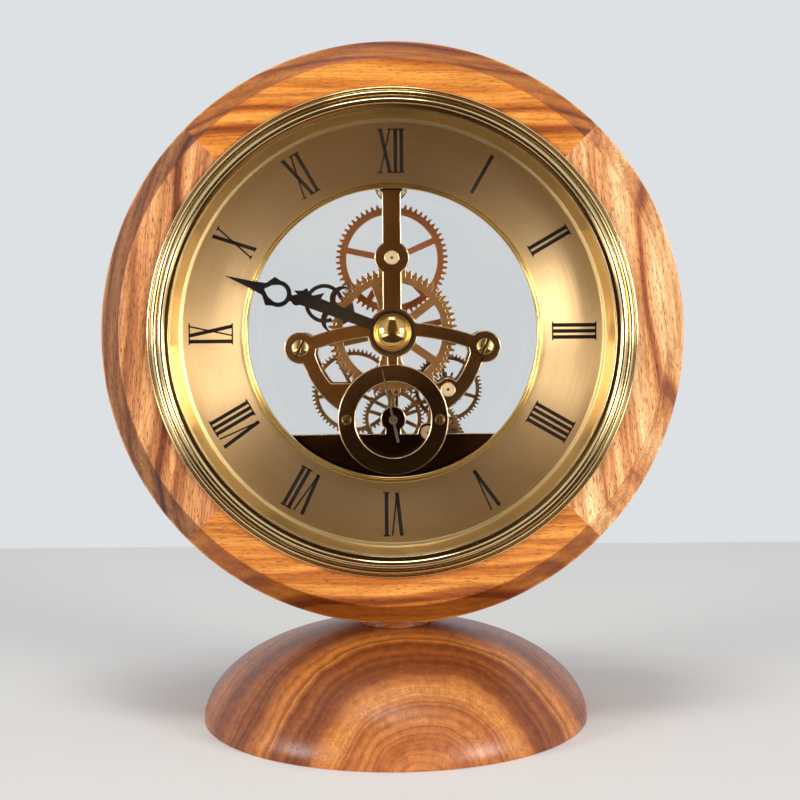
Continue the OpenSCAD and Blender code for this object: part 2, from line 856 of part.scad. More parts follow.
module movement_housing() color("#3a3632")
  in_ring()
    difference() {
      union() {
        translate([0, 0, rear_z])
          linear_extrude(lower_plate_z - rear_z)
            difference() {
              segment_shape(lower_r);
              circle(r = lower_r - housing_wall, $fn = 128);
            }
        for (side = [-1, 1])
          at([side * (housing_bay + top_wall_l / 2), -housing_top - housing_wall], rear_z)
            translate([-top_wall_l / 2, 0])
              cube([top_wall_l, housing_wall, lower_plate_z - rear_z]);
        translate([0, 0, rear_z])
          linear_extrude(floor_t)
            segment_shape(lower_r - housing_wall + eps);
        for (side = [-1, 1])
          at([side * (cell_reach + cradle_t / 2) - cradle_t / 2, -cell_down - cradle_w / 2], rear_z)
            cube([cradle_t, cradle_w, cradle_h]);
        for (spot = bridge_posts)
          at(spot, 0)
            disc(post_r, rear_z, bridge_z);
        for (spot = board_posts)
          at(spot, 0)
            disc(post_r, rear_z, board_z);
        for (spot = stator_posts)
          at(spot, 0)
            disc(thin_post_r, rear_z, stator_z);
        at(rotor_pos, 0)
          disc(rotor_boss_r, rear_z, rotor_seat_z);
        at(coil_pos - coil_foot / 2, rear_z)
          cube([coil_foot[0], coil_foot[1], coil_z - coil_r - rear_z]);
      }
      at([-door_w / 2 + bay_ledge, -cell_down - cell_r - bay_gap], rear_z - 1)
        cube([door_w - 2 * bay_ledge, 2 * (cell_r + bay_gap), floor_t + 2]);
      at(setting_pos, 0)
        disc(stem_r + running, rear_z - 1, rear_z + floor_t + 1);
      at(rotor_pos, 0)
        disc(pivot_r + running, rotor_seat_z - 1.5, rotor_seat_z + 1);
      for (spot = bridge_posts)
        at(spot, 0)
          disc(rear_screw_r + screw_fit, rear_z - 1, rear_z + rear_screw_l + 1);
    }

// A straight bar between two places in the plane of the dial
module link(a, b, w) {
  translate(a)
    rotate([0, 0, direction(a, b)])
      translate([0, -w / 2])
        square([norm(b - a), w]);
}

module motor_bridge() color("#b9bcbf")
  in_ring()
    difference() {
      translate([0, 0, bridge_z])
        linear_extrude(bridge_t)
          union() {
            for (spot = concat([drive_pos, setting_pos, rotor_pos], bridge_posts))
              translate(spot)
                circle(r = bridge_boss_r);
            link(bridge_posts[0], rotor_pos, bridge_arm_w);
            link(rotor_pos, bridge_posts[1], bridge_arm_w);
            link(bridge_posts[1], setting_pos, bridge_arm_w);
            link(setting_pos, drive_pos, bridge_arm_w);
          }
      for (spot = [drive_pos, setting_pos])
        at(spot, 0)
          disc(pivot_r + running, bridge_z - 1, bridge_z + bridge_t + 1);
      at(rotor_pos, 0)
        disc(arbor_r + 2 * running, bridge_z - 1, bridge_z + bridge_t + 1);
    }

cap_r = 1.9;
cap_l = 0.8;
module battery() color("#8b8d90")
  in_ring()
    translate([0, -cell_down, cell_z])
      rotate([0, 90, 0])
        union() {
          cylinder(r = cell_r, h = cell_l - cap_l, center = true);
          disc(cap_r, (cell_l - cap_l) / 2 - eps, (cell_l + cap_l) / 2);
        }

contact_t = 0.4;
contact_w = 7;
contact_h = 8;
contact_touch = 0.05;
dimple_r = 1.6;
plus_dimple_l = contact_gap - cap_l / 2 - contact_touch;
minus_dimple_l = contact_gap + cap_l / 2 - contact_touch;
module battery_contacts() color("#c4c6c8")
  in_ring()
    for (side = [-1, 1])
      translate([side * cell_reach, -cell_down, cell_z])
        union() {
          translate([side > 0 ? -contact_t : 0, -contact_w / 2, -contact_h / 2])
            cube([contact_t, contact_w, contact_h]);
          rotate([0, -side * 90, 0])
            disc(dimple_r, contact_t - eps, side > 0 ? plus_dimple_l : minus_dimple_l);
        }

core_w = 1.6;
core_t = 0.9;
core_reach = 9.2;
leg_at = core_reach - core_w / 2;
leg_drop = 4.8;
yoke_reach = 13;
module coil() color("#b5652a")
  in_ring()
    translate([coil_pos[0], coil_pos[1], coil_z])
      rotate([0, 90, 0])
        difference() {
          union() {
            cylinder(r = coil_r, h = coil_l, center = true);
            for (side = [-1, 1])
              translate([0, 0, side * (coil_l + coil_flange) / 2])
                cylinder(r = coil_r + 0.1, h = coil_flange, center = true);
          }
          cube([core_t + 0.2, core_w + 0.1, coil_l + 4], center = true);
        }

stator_ring_r = 5.4;
stator_gap = 0.5;
cell_clear = 0.15;
module stator() color("#9a9c9e")
  in_ring()
    translate([0, 0, stator_z])
      linear_extrude(core_t)
        difference() {
          union() {
            translate(rotor_pos)
              circle(r = stator_ring_r);
            link(coil_pos + [-core_reach, 0], coil_pos + [core_reach, 0], core_w);
            for (x = [-leg_at, leg_at])
              link(coil_pos + [x, -leg_drop], coil_pos + [x, core_w / 2], core_w);
            link(coil_pos + [-core_reach, core_w / 2 - leg_drop],
              coil_pos + [yoke_reach, core_w / 2 - leg_drop], core_w);
          }
          translate(rotor_pos)
            circle(r = magnet_r + stator_gap);
          translate([-lower_r, -cell_down - cell_r])
            square([2 * lower_r, 2 * cell_r + cell_clear]);
        }

chip_at = board_at + [4, 2.5];
chip_r = 2.2;
chip_h = 1;
crystal_at = board_at + [8, 7];
crystal_r = 1;
crystal_l = 3.6;
crystal_sink = 0.1;
module circuit_board() color("#2f6b45")
  in_ring()
    union() {
      at(board_at, board_z)
        cube([board_w, board_h, board_t]);
      at(chip_at, board_z + board_t - eps)
        cylinder(r = chip_r, h = chip_h);
      at(crystal_at, board_z + board_t + crystal_r - crystal_sink)
        rotate([0, 90, 0])
          cylinder(r = crystal_r, h = crystal_l, center = true);
    }

// Wheels and pinions

// Outline of a toothed wheel; the shares are parts of one tooth pitch
module tooth_outline(teeth, m, add, ded, root_share, mid_share, tip_share) {
  r = teeth * m / 2;
  pitch = 360 / teeth;
  levels = [
    [r - ded * m, -root_share], [r, -mid_share], [r + add * m, -tip_share],
    [r + add * m, tip_share], [r, mid_share], [r - ded * m, root_share]
  ];
  polygon([for (i = [0:teeth - 1]) for (l = levels) polar(l[0], pitch * (i + l[1]))]);
}

module wheel_outline(teeth, m) {
  tooth_outline(teeth, m, 1, 1.25, 0.31, 0.225, 0.08);
}

module pinion_outline(teeth, m) {
  tooth_outline(teeth, m, 0.8, 1.45, 0.19, 0.19, 0.08);
}

// Wheel with spokes; teeth_turn turns the teeth and spoke_turn the spokes
module spoked_wheel(teeth, m, t, bore, band, hub, spokes, width, teeth_turn, spoke_turn) {
  linear_extrude(t)
    difference() {
      rotate(teeth_turn)
        wheel_outline(teeth, m);
      difference() {
        circle(r = teeth * m / 2 - 1.25 * m - band, $fn = 96);
        circle(r = hub);
        for (i = [0:spokes - 1])
          rotate(spoke_turn + i * 360 / spokes)
            translate([0, -width / 2])
              square([teeth * m, width]);
      }
      circle(r = bore, $fn = 32);
    }
}

module pinion(teeth, m, t, teeth_turn) {
  linear_extrude(t)
    rotate(teeth_turn)
      pinion_outline(teeth, m);
}

// Turn of every wheel at rest; each pinion follows from the wheel that it meets
third_pinion_turn = mesh_turn(direction([0, 0], third_pos), 0, centre_teeth, third_leaves);
transfer_pinion_turn = mesh_turn(transfer_turn, 0, centre_teeth, transfer_leaves);
motion_wheel_turn = mesh_turn(90, 0, cannon_teeth, motion_teeth);
motion_pinion_turn = mesh_turn(90, 0, hour_teeth, motion_leaves);
setting_wheel_turn = mesh_turn(setting_turn, 0, transfer_teeth, setting_teeth);
third_wheel_turn = mesh_turn(direction(seconds_pos, third_pos), 0, seconds_leaves, third_teeth);
drive_pinion_turn = mesh_turn(drive_turn, 0, seconds_teeth, drive_leaves);
rotor_pinion_turn = mesh_turn(rotor_turn, 0, drive_teeth, rotor_leaves);

hub_centre = 4.4;
hub_small = 1.9;
shoulder_gap = 0.1;
pivot_short = 0.2;

// Arbor that runs in both plates on thin pivots
module plate_arbor() {
  union() {
    disc(arbor_r, back_face_z + shoulder_gap, front_plate_z - shoulder_gap);
    disc(pivot_r, back_plate_z + pivot_short, seconds_ring_z - pivot_short);
  }
}

module centre_wheel() color("#a9803c")
  in_ring()
    at([0, 0], centre_wheel_z)
      spoked_wheel(centre_teeth, centre_m, centre_t, minute_arbor_r, rim_band, hub_centre, 4, spoke_w,
        0, 12);

collar_h = 0.7;
module minute_arbor() color("#c2c4c6")
  in_ring()
    union() {
      disc(minute_arbor_r, back_plate_z + pivot_short, nut_z + 0.6);
      disc(minute_arbor_r + collar_h, motion_wheel_z + wheel_t - eps, centre_wheel_z);
      translate([0, 0, motion_wheel_z])
        pinion(cannon_teeth, cannon_m, wheel_t, 0);
    }

hour_spoke_turn = 37.5;
module hour_wheel() color("#b48a42")
  in_ring()
    at([0, 0], hour_wheel_z)
      spoked_wheel(hour_teeth, hour_m, wheel_t, hour_pipe_r, rim_band, hub_centre, 5, spoke_w + 0.6,
        0, hour_spoke_turn);

module hour_pipe() color("#b48a42")
  in_ring()
    difference() {
      union() {
        disc(hour_pipe_r, hour_wheel_z - collar_h, hour_hand_z + hand_t);
        disc(hour_pipe_r + collar_h, hour_wheel_z - collar_h, hour_wheel_z);
      }
      disc(minute_arbor_r + running, centre_wheel_z, nut_z);
    }

motion_spoke_turn = 24;
module motion_wheel() color("#b0713c")
  in_ring()
    at(motion_pos, motion_wheel_z)
      spoked_wheel(motion_teeth, cannon_m, wheel_t, arbor_r, rim_band, hub_small, 5, spoke_w,
        motion_wheel_turn, motion_spoke_turn);

module motion_pinion() color("#c2c4c6")
  in_ring()
    at(motion_pos, 0)
      union() {
        plate_arbor();
        translate([0, 0, hour_wheel_z])
          pinion(motion_leaves, hour_m, wheel_t, motion_pinion_turn);
      }

module transfer_wheel() color("#a9803c")
  in_ring()
    at(transfer_pos, third_wheel_z)
      spoked_wheel(transfer_teeth, setting_m, third_t, arbor_r, small_rim_band, hub_small, 3,
        small_spoke_w, 0, 102.6);

module transfer_pinion() color("#c2c4c6")
  in_ring()
    at(transfer_pos, 0)
      union() {
        plate_arbor();
        translate([0, 0, centre_wheel_z])
          pinion(transfer_leaves, centre_m, centre_t, transfer_pinion_turn);
      }

module setting_wheel() color("#c2a45c")
  in_ring()
    at(setting_pos, third_wheel_z)
      linear_extrude(third_t)
        difference() {
          rotate(setting_wheel_turn)
            wheel_outline(setting_teeth, setting_m);
          circle(r = stem_r, $fn = 32);
        }

knob_gap = 0.4;
module setting_stem() color("#c2c4c6")
  in_ring()
    at(setting_pos, 0)
      union() {
        disc(stem_r, case_back_z - knob_gap - 1, third_wheel_z + third_t);
        disc(pivot_r, third_wheel_z, bridge_z + bridge_t - shoulder_gap);
      }

knob_notch = 0.35;
module setting_knob() color("#1f1f1f")
  in_ring()
    at(setting_pos, case_back_z - knob_gap - knob_l)
      difference() {
        union() {
          cylinder(r = knob_r - 0.5, h = knob_l);
          linear_extrude(knob_l - 0.6)
            polygon([for (i = [0:47]) polar(knob_r - (i % 2) * knob_notch, i * 7.5)]);
        }
        disc(stem_r, knob_l - 1, knob_l + 1);
      }

// The third wheel turns on its arbor against a spring washer, so the hands can be set
module third_wheel() color("#a9803c")
  in_ring()
    at(third_pos, third_wheel_z)
      spoked_wheel(third_teeth, third_m, third_t, arbor_r + running, small_rim_band, hub_small, 5,
        small_spoke_w, third_wheel_turn, 45);

clutch_gap = 0.05;
module third_pinion() color("#c2c4c6")
  in_ring()
    at(third_pos, 0)
      union() {
        plate_arbor();
        disc(arbor_r + 0.5, third_wheel_z - clutch_gap - collar_h, third_wheel_z - clutch_gap);
        translate([0, 0, centre_wheel_z])
          pinion(third_leaves, centre_m, centre_t, third_pinion_turn);
      }

washer_r = 1.8;
washer_h = 0.7;
washer_t = 0.2;
module clutch_washer() color("#d8dadc")
  in_ring()
    at(third_pos, third_wheel_z + third_t + clutch_gap)
      rotate_extrude()
        polygon([
          [arbor_r, washer_h - washer_t], [washer_r - 0.2, 0], [washer_r, 0], [washer_r, washer_t],
          [arbor_r + washer_t, washer_h], [arbor_r, washer_h]
        ]);

seconds_spoke_turn = 18;
module seconds_wheel() color("#6c5230")
  in_ring()
    at(seconds_pos, seconds_wheel_z)
      spoked_wheel(seconds_teeth, seconds_m, seconds_t, arbor_r, small_rim_band, hub_small, 5,
        small_spoke_w, 0, seconds_spoke_turn);

module seconds_arbor() color("#c2c4c6")
  in_ring()
    at(seconds_pos, 0)
      union() {
        disc(arbor_r, back_face_z + shoulder_gap, second_hand_z + second_seat);
        disc(pivot_r, back_plate_z + pivot_short, back_face_z + 1);
        translate([0, 0, third_wheel_z])
          pinion(seconds_leaves, third_m, third_t, 0);
      }

module drive_wheel() color("#9c7a3c")
  in_ring()
    at(drive_pos, drive_wheel_z)
      spoked_wheel(drive_teeth, drive_m, drive_t, arbor_r, small_rim_band, hub_small, 5,
        small_spoke_w, 0, 10);

module drive_arbor() color("#c2c4c6")
  in_ring()
    at(drive_pos, 0)
      union() {
        disc(arbor_r, bridge_z + bridge_t + shoulder_gap, lower_plate_z - shoulder_gap);
        disc(pivot_r, bridge_z + shoulder_gap, lower_plate_z + lower_t - shoulder_gap);
        translate([0, 0, seconds_wheel_z])
          pinion(drive_leaves, seconds_m, seconds_t, drive_pinion_turn);
      }

magnet_t = 1.6;
magnet_hub_r = 1.2;
module rotor() color("#55585c")
  in_ring()
    at(rotor_pos, 0)
      union() {
        disc(magnet_r, magnet_z, magnet_z + magnet_t);
        disc(magnet_hub_r, magnet_z, bridge_z - 0.3);
        disc(arbor_r, magnet_z, drive_wheel_z + drive_t + 0.6);
        disc(pivot_r, rotor_seat_z - 1.2, lower_plate_z + lower_t - shoulder_gap);
        translate([0, 0, drive_wheel_z])
          pinion(rotor_leaves, drive_m, drive_t, rotor_pinion_turn);
      }

// Hands, drawn along +Y from the middle of the dial

blade_start = 41.5;
blade_wide_at = 44.6;
loop_at = 37;
loop_r = 4.1;
minute_hub_r = 3.9;
knuckle_r = 1.7;
module minute_shape() {
  difference() {
    union() {
      circle(r = minute_hub_r);
      polygon([[1.5, 0], [1.05, loop_at - loop_r + 1], [-1.05, loop_at - loop_r + 1], [-1.5, 0]]);
      translate([0, loop_at - loop_r - knuckle_r - 0.2])
        circle(r = knuckle_r);
      translate([0, loop_at])
        circle(r = loop_r);
      polygon([
        [loop_r, loop_at + 0.6], [loop_r + 0.5, loop_at + 2.6], [2, blade_start],
        [1.35, blade_wide_at], [0, minute_l], [-1.35, blade_wide_at], [-2, blade_start],
        [-loop_r - 0.5, loop_at + 2.6], [-loop_r, loop_at + 0.6]
      ]);
    }
    translate([0, loop_at])
      circle(r = loop_r - 1.4);
    polygon([[2.5, loop_at + 1], [1.9, loop_at + 2.6], [0, blade_start], [-1.9, loop_at + 2.6],
      [-2.5, loop_at + 1]]);
    circle(r = minute_arbor_r);
  }
}

module minute_hand() color("#1a1614")
  in_ring()
    translate([0, 0, minute_hand_z])
      rotate([0, 0, -6 * minute_shown])
        linear_extrude(hand_t)
          minute_shape();

hour_loop_at = 22.8;
hour_loop_r = 6;
hour_stroke = 1.2;
hour_hub_r = 4.4;
barb_at = 15.4;
spade_at = hour_loop_at + hour_loop_r - 0.6;

// Right half of the hour hand's scrollwork
module hour_scroll() {
  linear_extrude(hand_t)
    union() {
      translate([0, hour_loop_at])
        difference() {
          circle(r = hour_loop_r);
          circle(r = hour_loop_r - hour_stroke);
          polygon([[0, 0], [-20, -22], [20, -22]]);
          translate([-20, -20])
            square([20, 40]);
        }
      intersection() {
        translate([3.5, hour_loop_at - 4.6])
          difference() {
            circle(r = 3.9);
            translate([0.3, -1.3])
              circle(r = 3.4);
          }
        translate([0, hour_loop_at - 5.4])
          square([8, 8]);
      }
      polygon([[0.8, hour_loop_at + 1.5], [3, hour_loop_at + 1.2], [1, hour_loop_at + 4]]);
      polygon([[1, barb_at - 2.4], [3.7, barb_at - 0.6], [1.2, barb_at + 1.2]]);
    }
}

module hour_stem() {
  linear_extrude(hand_t)
    union() {
      circle(r = hour_hub_r);
      polygon([[1.7, 0], [1.15, barb_at], [0.95, spade_at], [-0.95, spade_at], [-1.15, barb_at],
        [-1.7, 0]]);
      polygon([[1, spade_at - 0.4], [2.3, spade_at + 1.4], [1.1, spade_at + 2.2], [0, hour_l],
        [-1.1, spade_at + 2.2], [-2.3, spade_at + 1.4], [-1, spade_at - 0.4]]);
    }
}

module hour_hand() color("#1a1614")
  in_ring()
    translate([0, 0, hour_hand_z])
      rotate([0, 0, -hour_angle])
        difference() {
          union() {
            hour_stem();
            hour_scroll();
            mirror([1, 0, 0])
              hour_scroll();
          }
          disc(hour_pipe_r, -1, hand_t + 1);
        }

second_hub_r = 1.4;
second_hub_h = 0.45;
second_seat = 0.1;
module second_hand() color("#d9d4c8")
  in_ring()
    at(seconds_pos, second_hand_z)
      rotate([0, 0, -6 * second_shown])
        difference() {
          union() {
            linear_extrude(second_hand_t)
              polygon([[0.45, -second_tail], [0.4, 0], [0.15, second_l], [-0.15, second_l],
                [-0.4, 0], [-0.45, -second_tail]]);
            cylinder(r = second_hub_r, h = second_hub_h);
          }
          disc(arbor_r, -1, second_seat);
        }

// Dome nut with a milled edge; its cap is part of a ball
module dome_nut() color("#e0b95a")
  in_ring() {
    edge_h = 1.1;
    notch = 0.3;
    foot_r = nut_r - notch - 0.1;
    cap_h = nut_h - edge_h;
    cap_r = (foot_r ^ 2 + cap_h ^ 2) / (2 * cap_h);
    translate([0, 0, nut_z])
      difference() {
        union() {
          linear_extrude(edge_h)
            polygon([for (i = [0:71]) polar(nut_r - (i % 2) * notch, i * 5)]);
          intersection() {
            translate([0, 0, nut_h - cap_r])
              sphere(r = cap_r, $fn = 96);
            disc(nut_r, edge_h - eps, nut_h + 1);
          }
        }
        disc(minute_arbor_r, -1, 0.6);
      }
  }

dome_base();
neck();
assembly_screw();
ring_segment_top();
ring_segment_left();
ring_segment_bottom();
ring_segment_right();
bezel();
lens();
reflector_ring();
dial();
dial_rim();
case_shell();
grip_band();
rear_frame();
rear_window();
rear_screws();
battery_door();
front_plate();
back_plate();
lower_plate();
plate_pillars();
plate_screws();
seconds_ring();
seconds_ring_screws();
bushings();
movement_housing();
motor_bridge();
battery();
battery_contacts();
coil();
stator();
circuit_board();
rotor();
drive_wheel();
drive_arbor();
seconds_wheel();
seconds_arbor();
second_hand();
third_wheel();
third_pinion();
clutch_washer();
centre_wheel();
minute_arbor();
minute_hand();
dome_nut();
motion_wheel();
motion_pinion();
hour_wheel();
hour_pipe();
hour_hand();
transfer_wheel();
transfer_pinion();
setting_wheel();
setting_stem();
setting_knob();
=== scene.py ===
# Desk clock: a skeleton movement in a wooden ring on a half-dome base.
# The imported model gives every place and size, and this file gives the looks.
import json
import math

import bpy
from mathutils import Matrix, Vector


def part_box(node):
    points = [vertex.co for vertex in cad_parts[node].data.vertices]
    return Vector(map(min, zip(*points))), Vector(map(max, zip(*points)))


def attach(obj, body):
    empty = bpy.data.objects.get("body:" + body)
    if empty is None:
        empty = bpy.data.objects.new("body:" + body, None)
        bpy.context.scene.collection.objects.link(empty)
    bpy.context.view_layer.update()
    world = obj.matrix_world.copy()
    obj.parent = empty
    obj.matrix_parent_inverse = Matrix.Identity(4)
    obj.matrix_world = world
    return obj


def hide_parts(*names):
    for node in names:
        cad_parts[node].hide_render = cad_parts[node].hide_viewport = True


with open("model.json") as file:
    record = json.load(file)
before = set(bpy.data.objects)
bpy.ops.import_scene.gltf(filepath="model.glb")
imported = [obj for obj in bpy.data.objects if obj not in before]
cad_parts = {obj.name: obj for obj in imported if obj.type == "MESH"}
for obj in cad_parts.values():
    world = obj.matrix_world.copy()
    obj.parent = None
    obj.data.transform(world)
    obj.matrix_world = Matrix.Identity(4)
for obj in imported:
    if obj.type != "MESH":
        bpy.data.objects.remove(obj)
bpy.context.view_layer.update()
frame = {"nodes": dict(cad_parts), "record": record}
nodes = frame["nodes"]
record = frame["record"]
bodyOf = {node: body for body, members in record["behaviour"]["bodies"].items() for node in members}
print("frame loaded:", len(nodes), "nodes")

mm = 0.001
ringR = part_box("ring_segment_right")[1].x
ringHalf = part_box("ring_segment_top")[1].y
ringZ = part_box("ring_segment_top")[1].z - ringR


def radiusOf(node):
    low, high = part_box(node)
    return (high.x - low.x) / 2


def frontOf(node):
    return -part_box(node)[0].y


def backOf(node):
    return -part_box(node)[1].y


# Modelling helpers
def deselectAll():
    if bpy.context.object and bpy.context.object.mode != "OBJECT":
        bpy.ops.object.mode_set(mode="OBJECT")
    bpy.ops.object.select_all(action="DESELECT")


def activate(piece):
    deselectAll()
    piece.select_set(True)
    bpy.context.view_layer.objects.active = piece


def editAll(piece):
    activate(piece)
    bpy.ops.object.mode_set(mode="EDIT")
    bpy.ops.mesh.select_all(action="SELECT")


def smoothed(piece, angle):
    activate(piece)
    bpy.ops.object.shade_smooth_by_angle(angle=math.radians(angle))
    return piece


def applyModifier(piece, kind, **settings):
    activate(piece)
    modifier = piece.modifiers.new(kind.lower(), kind)
    for setting, value in settings.items():
        setattr(modifier, setting, value)
    bpy.ops.object.modifier_apply(modifier=modifier.name)


def dressed(piece, material, node, replace=True):
    piece.data.materials.clear()
    piece.data.materials.append(material)
    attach(piece, bodyOf[node])
    if replace:
        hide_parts(node)


# Corners of an outline, each turned into a short curve that takes less than half of either edge
curveSteps = 4
edgeShare = 0.45


def eased(corners, ease):
    outline = []
    for i, corner in enumerate(corners):
        here = Vector(corner)
        ends = []
        for other in (Vector(corners[i - 1]), Vector(corners[(i + 1) % len(corners)])):
            run = other - here
            ends.append(here + run.normalized() * min(ease, run.length * edgeShare))
        for k in range(curveSteps + 1):
            t = k / curveSteps
            outline.append(ends[0] * (1 - t) ** 2 + here * 2 * t * (1 - t) + ends[1] * t ** 2)
    return outline


def arc(centre, radius, start, end, steps):
    turns = [math.radians(start + (end - start) * k / steps) for k in range(steps + 1)]
    return [Vector((centre[0] + radius * math.cos(a), centre[1] + radius * math.sin(a))) for a in turns]


# An outline of radius and level, spun round the ring's axis or, if upright, round the stand's
spinWeld = 1e-7


def turned(name, outline, steps, start=0, sweep=360, upright=False):
    whole = sweep == 360
    deselectAll()
    bpy.ops.mesh.primitive_circle_add(vertices=len(outline), fill_type="NOTHING" if whole else "NGON")
    piece = bpy.context.object
    piece.name = piece.data.name = name
    turn = math.radians(start)
    for vertex, (radius, level) in zip(piece.data.vertices, outline):
        across, aside = radius * math.cos(turn), radius * math.sin(turn)
        vertex.co = (across, aside, level) if upright else (across, -level, ringZ + aside)
    editAll(piece)
    bpy.ops.mesh.spin(steps=steps, angle=math.radians(sweep), dupli=False, use_auto_merge=False,
                      center=(0, 0, 0) if upright else (0, 0, ringZ),
                      axis=(0, 0, 1) if upright else (0, 1, 0))
    bpy.ops.mesh.select_all(action="SELECT")
    bpy.ops.mesh.remove_doubles(threshold=spinWeld)
    if not whole:
        bpy.ops.mesh.select_all(action="DESELECT")
        bpy.ops.mesh.select_non_manifold()
        bpy.ops.mesh.fill_holes(sides=0)
        bpy.ops.mesh.select_all(action="SELECT")
    bpy.ops.mesh.normals_make_consistent(inside=False)
    bpy.ops.object.mode_set(mode="OBJECT")
    return piece


# A copy of a plate or wheel with its edges broken, as a polisher leaves them, and, where an edge material
# is given, a painted highlight in a paler metal on the broken edges
broken = {
    "weld": 2e-7,
    "flatWithin": 0.5,
    "sharperThan": 35,
    "segments": 2,
    "smoothUpTo": 50,
    "flatWeight": 100,
}


def edged(node, material, width, edge=None):
    piece = bpy.data.objects.new(node + "_polished", nodes[node].data.copy())
    bpy.context.scene.collection.objects.link(piece)
    editAll(piece)
    bpy.ops.mesh.remove_doubles(threshold=broken["weld"])
    bpy.ops.mesh.dissolve_limited(angle_limit=math.radians(broken["flatWithin"]))
    bpy.ops.object.mode_set(mode="OBJECT")
    dressed(piece, material, node)
    if edge:
        piece.data.materials.append(edge)
    applyModifier(piece, "BEVEL", width=width, segments=broken["segments"], limit_method="ANGLE",
                  angle_limit=math.radians(broken["sharperThan"]), use_clamp_overlap=edge is None,
                  material=1 if edge else -1)
    smoothed(piece, broken["smoothUpTo"])
    # Normals weighted by area keep the flat faces flat
    applyModifier(piece, "WEIGHTED_NORMAL", mode="FACE_AREA", weight=broken["flatWeight"], keep_sharp=True)


# Shader helpers
def feed(tree, socket, value):
    if hasattr(value, "is_output"):
        tree.links.new(value, socket)
    else:
        socket.default_value = value


def feedAll(tree, node, values):
    for socket, value in values.items():
        feed(tree, node.inputs[socket], value)


def addNode(tree, kind, inputs=None, **settings):
    node = tree.nodes.new("ShaderNode" + kind)
    for setting, value in settings.items():
        setattr(node, setting, value)
    feedAll(tree, node, inputs or {})
    return node


def maths(tree, operation, *values):
    node = addNode(tree, "Math", operation=operation)
    for socket, value in zip(node.inputs, values):
        feed(tree, socket, value)
    return node.outputs[0]


def lengthOf(tree, first, second):
    return maths(tree, "SQRT", maths(tree, "ADD", maths(tree, "POWER", first, 2.0),
                                     maths(tree, "POWER", second, 2.0)))


noiseMiddle = 0.5


def noise(tree, space, scale, detail):
    spread = addNode(tree, "Mapping", {"Vector": space, "Scale": scale})
    cloud = addNode(tree, "TexNoise", {"Vector": spread.outputs[0], "Scale": 1.0, "Detail": detail})
    return cloud.outputs[0]


def ramp(tree, factor, stops):
    node = addNode(tree, "ValToRGB", {"Fac": factor})
    elements = node.color_ramp.elements
    elements[0].position, elements[1].position = stops[0][0], stops[-1][0]
    for stop in stops[1:-1]:
        elements.new(stop[0])
    for element, stop in zip(elements, stops):
        element.color = (*stop[1], 1)
    return node.outputs["Color"]


def blended(tree, factor, first, second, mode="MIX"):
    node = addNode(tree, "Mix", data_type="RGBA", blend_type=mode)
    feed(tree, node.inputs[0], factor)
    for socket, colour in ((node.inputs[6], first), (node.inputs[7], second)):
        feed(tree, socket, (*colour, 1) if isinstance(colour, tuple) else colour)
    return node.outputs[2]


def makeGroup(name, inputs, outputs):
    group = bpy.data.node_groups.new(name, "ShaderNodeTree")
    for label, kind, value in inputs:
        socket = group.interface.new_socket(label, in_out="INPUT", socket_type="NodeSocket" + kind)
        if value is not None:
            socket.default_value = value
    for label, kind in outputs:
        group.interface.new_socket(label, in_out="OUTPUT", socket_type="NodeSocket" + kind)
    return group, group.nodes.new("NodeGroupInput"), group.nodes.new("NodeGroupOutput")


def place(tree, group, **inputs):
    node = tree.nodes.new("ShaderNodeGroup")
    node.node_tree = group
    feedAll(tree, node, inputs)
    return node


# A colour as a screen shows it, turned into the shader's own scale
def shade(red, green, blue):
    scaled = [part / 255 for part in (red, green, blue)]
    return tuple(part / 12.92 if part < 0.04 else ((part + 0.055) / 1.055) ** 2.4 for part in scaled)


def newMaterial(name):
    material = bpy.data.materials.new(name)
    material.use_nodes = True
    tree = material.node_tree
    return material, tree, tree.nodes["Principled BSDF"]


def shown(tree, shader, look, depth):
    bump = addNode(tree, "Bump", {"Height": look.outputs["Height"], "Distance": depth, "Strength": 1.0})
    feedAll(tree, shader, {"Base Color": look.outputs["Color"], "Roughness": look.outputs["Roughness"],
                           "Normal": bump.outputs[0]})


# Wood: fibres and short dark pores over a band colour, with the grain along X
woodGrain = {
    "streaks": {"scale": (22, 420, 420), "detail": 3.0},
    "fibres": {"scale": (110, 2300, 2300), "detail": 2.0},
    "pores": {"scale": (420, 3600, 3600), "detail": 1.0},
    "poresFrom": 0.58,
    "poresTo": 0.67,
    "poreTone": (0.42, 0.3, 0.23),
    "poreRough": 0.22,
    "poreHeight": -0.8,
    "streakShare": 1.5,
    "toneSwing": {"Red": 2.0, "Green": 2.5, "Blue": 3.2},
    "fibreRough": 0.16,
    "fibreHeight": 0.5,
}
woodGroup, woodIn, woodOut = makeGroup(
    "woodFibres",
    [("Vector", "Vector", None), ("Band", "Color", (0.5, 0.25, 0.1, 1)), ("Pores", "Float", 0.6),
     ("Fibres", "Float", 0.25), ("Gloss", "Float", 0.34)],
    [("Color", "Color"), ("Roughness", "Float"), ("Height", "Float")])


def woodNoise(layer):
    return noise(woodGroup, woodIn.outputs["Vector"], **woodGrain[layer])


streakSwing = maths(woodGroup, "SUBTRACT", woodNoise("streaks"), noiseMiddle)
fibreSwing = maths(woodGroup, "SUBTRACT", woodNoise("fibres"), noiseMiddle)
poreMask = addNode(woodGroup, "MapRange", {"Value": woodNoise("pores"), "From Min": woodGrain["poresFrom"],
                                           "From Max": woodGrain["poresTo"]})
pores = maths(woodGroup, "MULTIPLY", poreMask.outputs[0], woodIn.outputs["Pores"])
swing = maths(woodGroup, "MULTIPLY_ADD", streakSwing, woodGrain["streakShare"], fibreSwing)
swung = maths(woodGroup, "MULTIPLY", swing, woodIn.outputs["Fibres"])
fibreTone = addNode(woodGroup, "CombineColor", {part: maths(woodGroup, "MULTIPLY_ADD", swung, share, 1.0)
                                                for part, share in woodGrain["toneSwing"].items()})
toned = blended(woodGroup, 1.0, woodIn.outputs["Band"], fibreTone.outputs[0], "MULTIPLY")
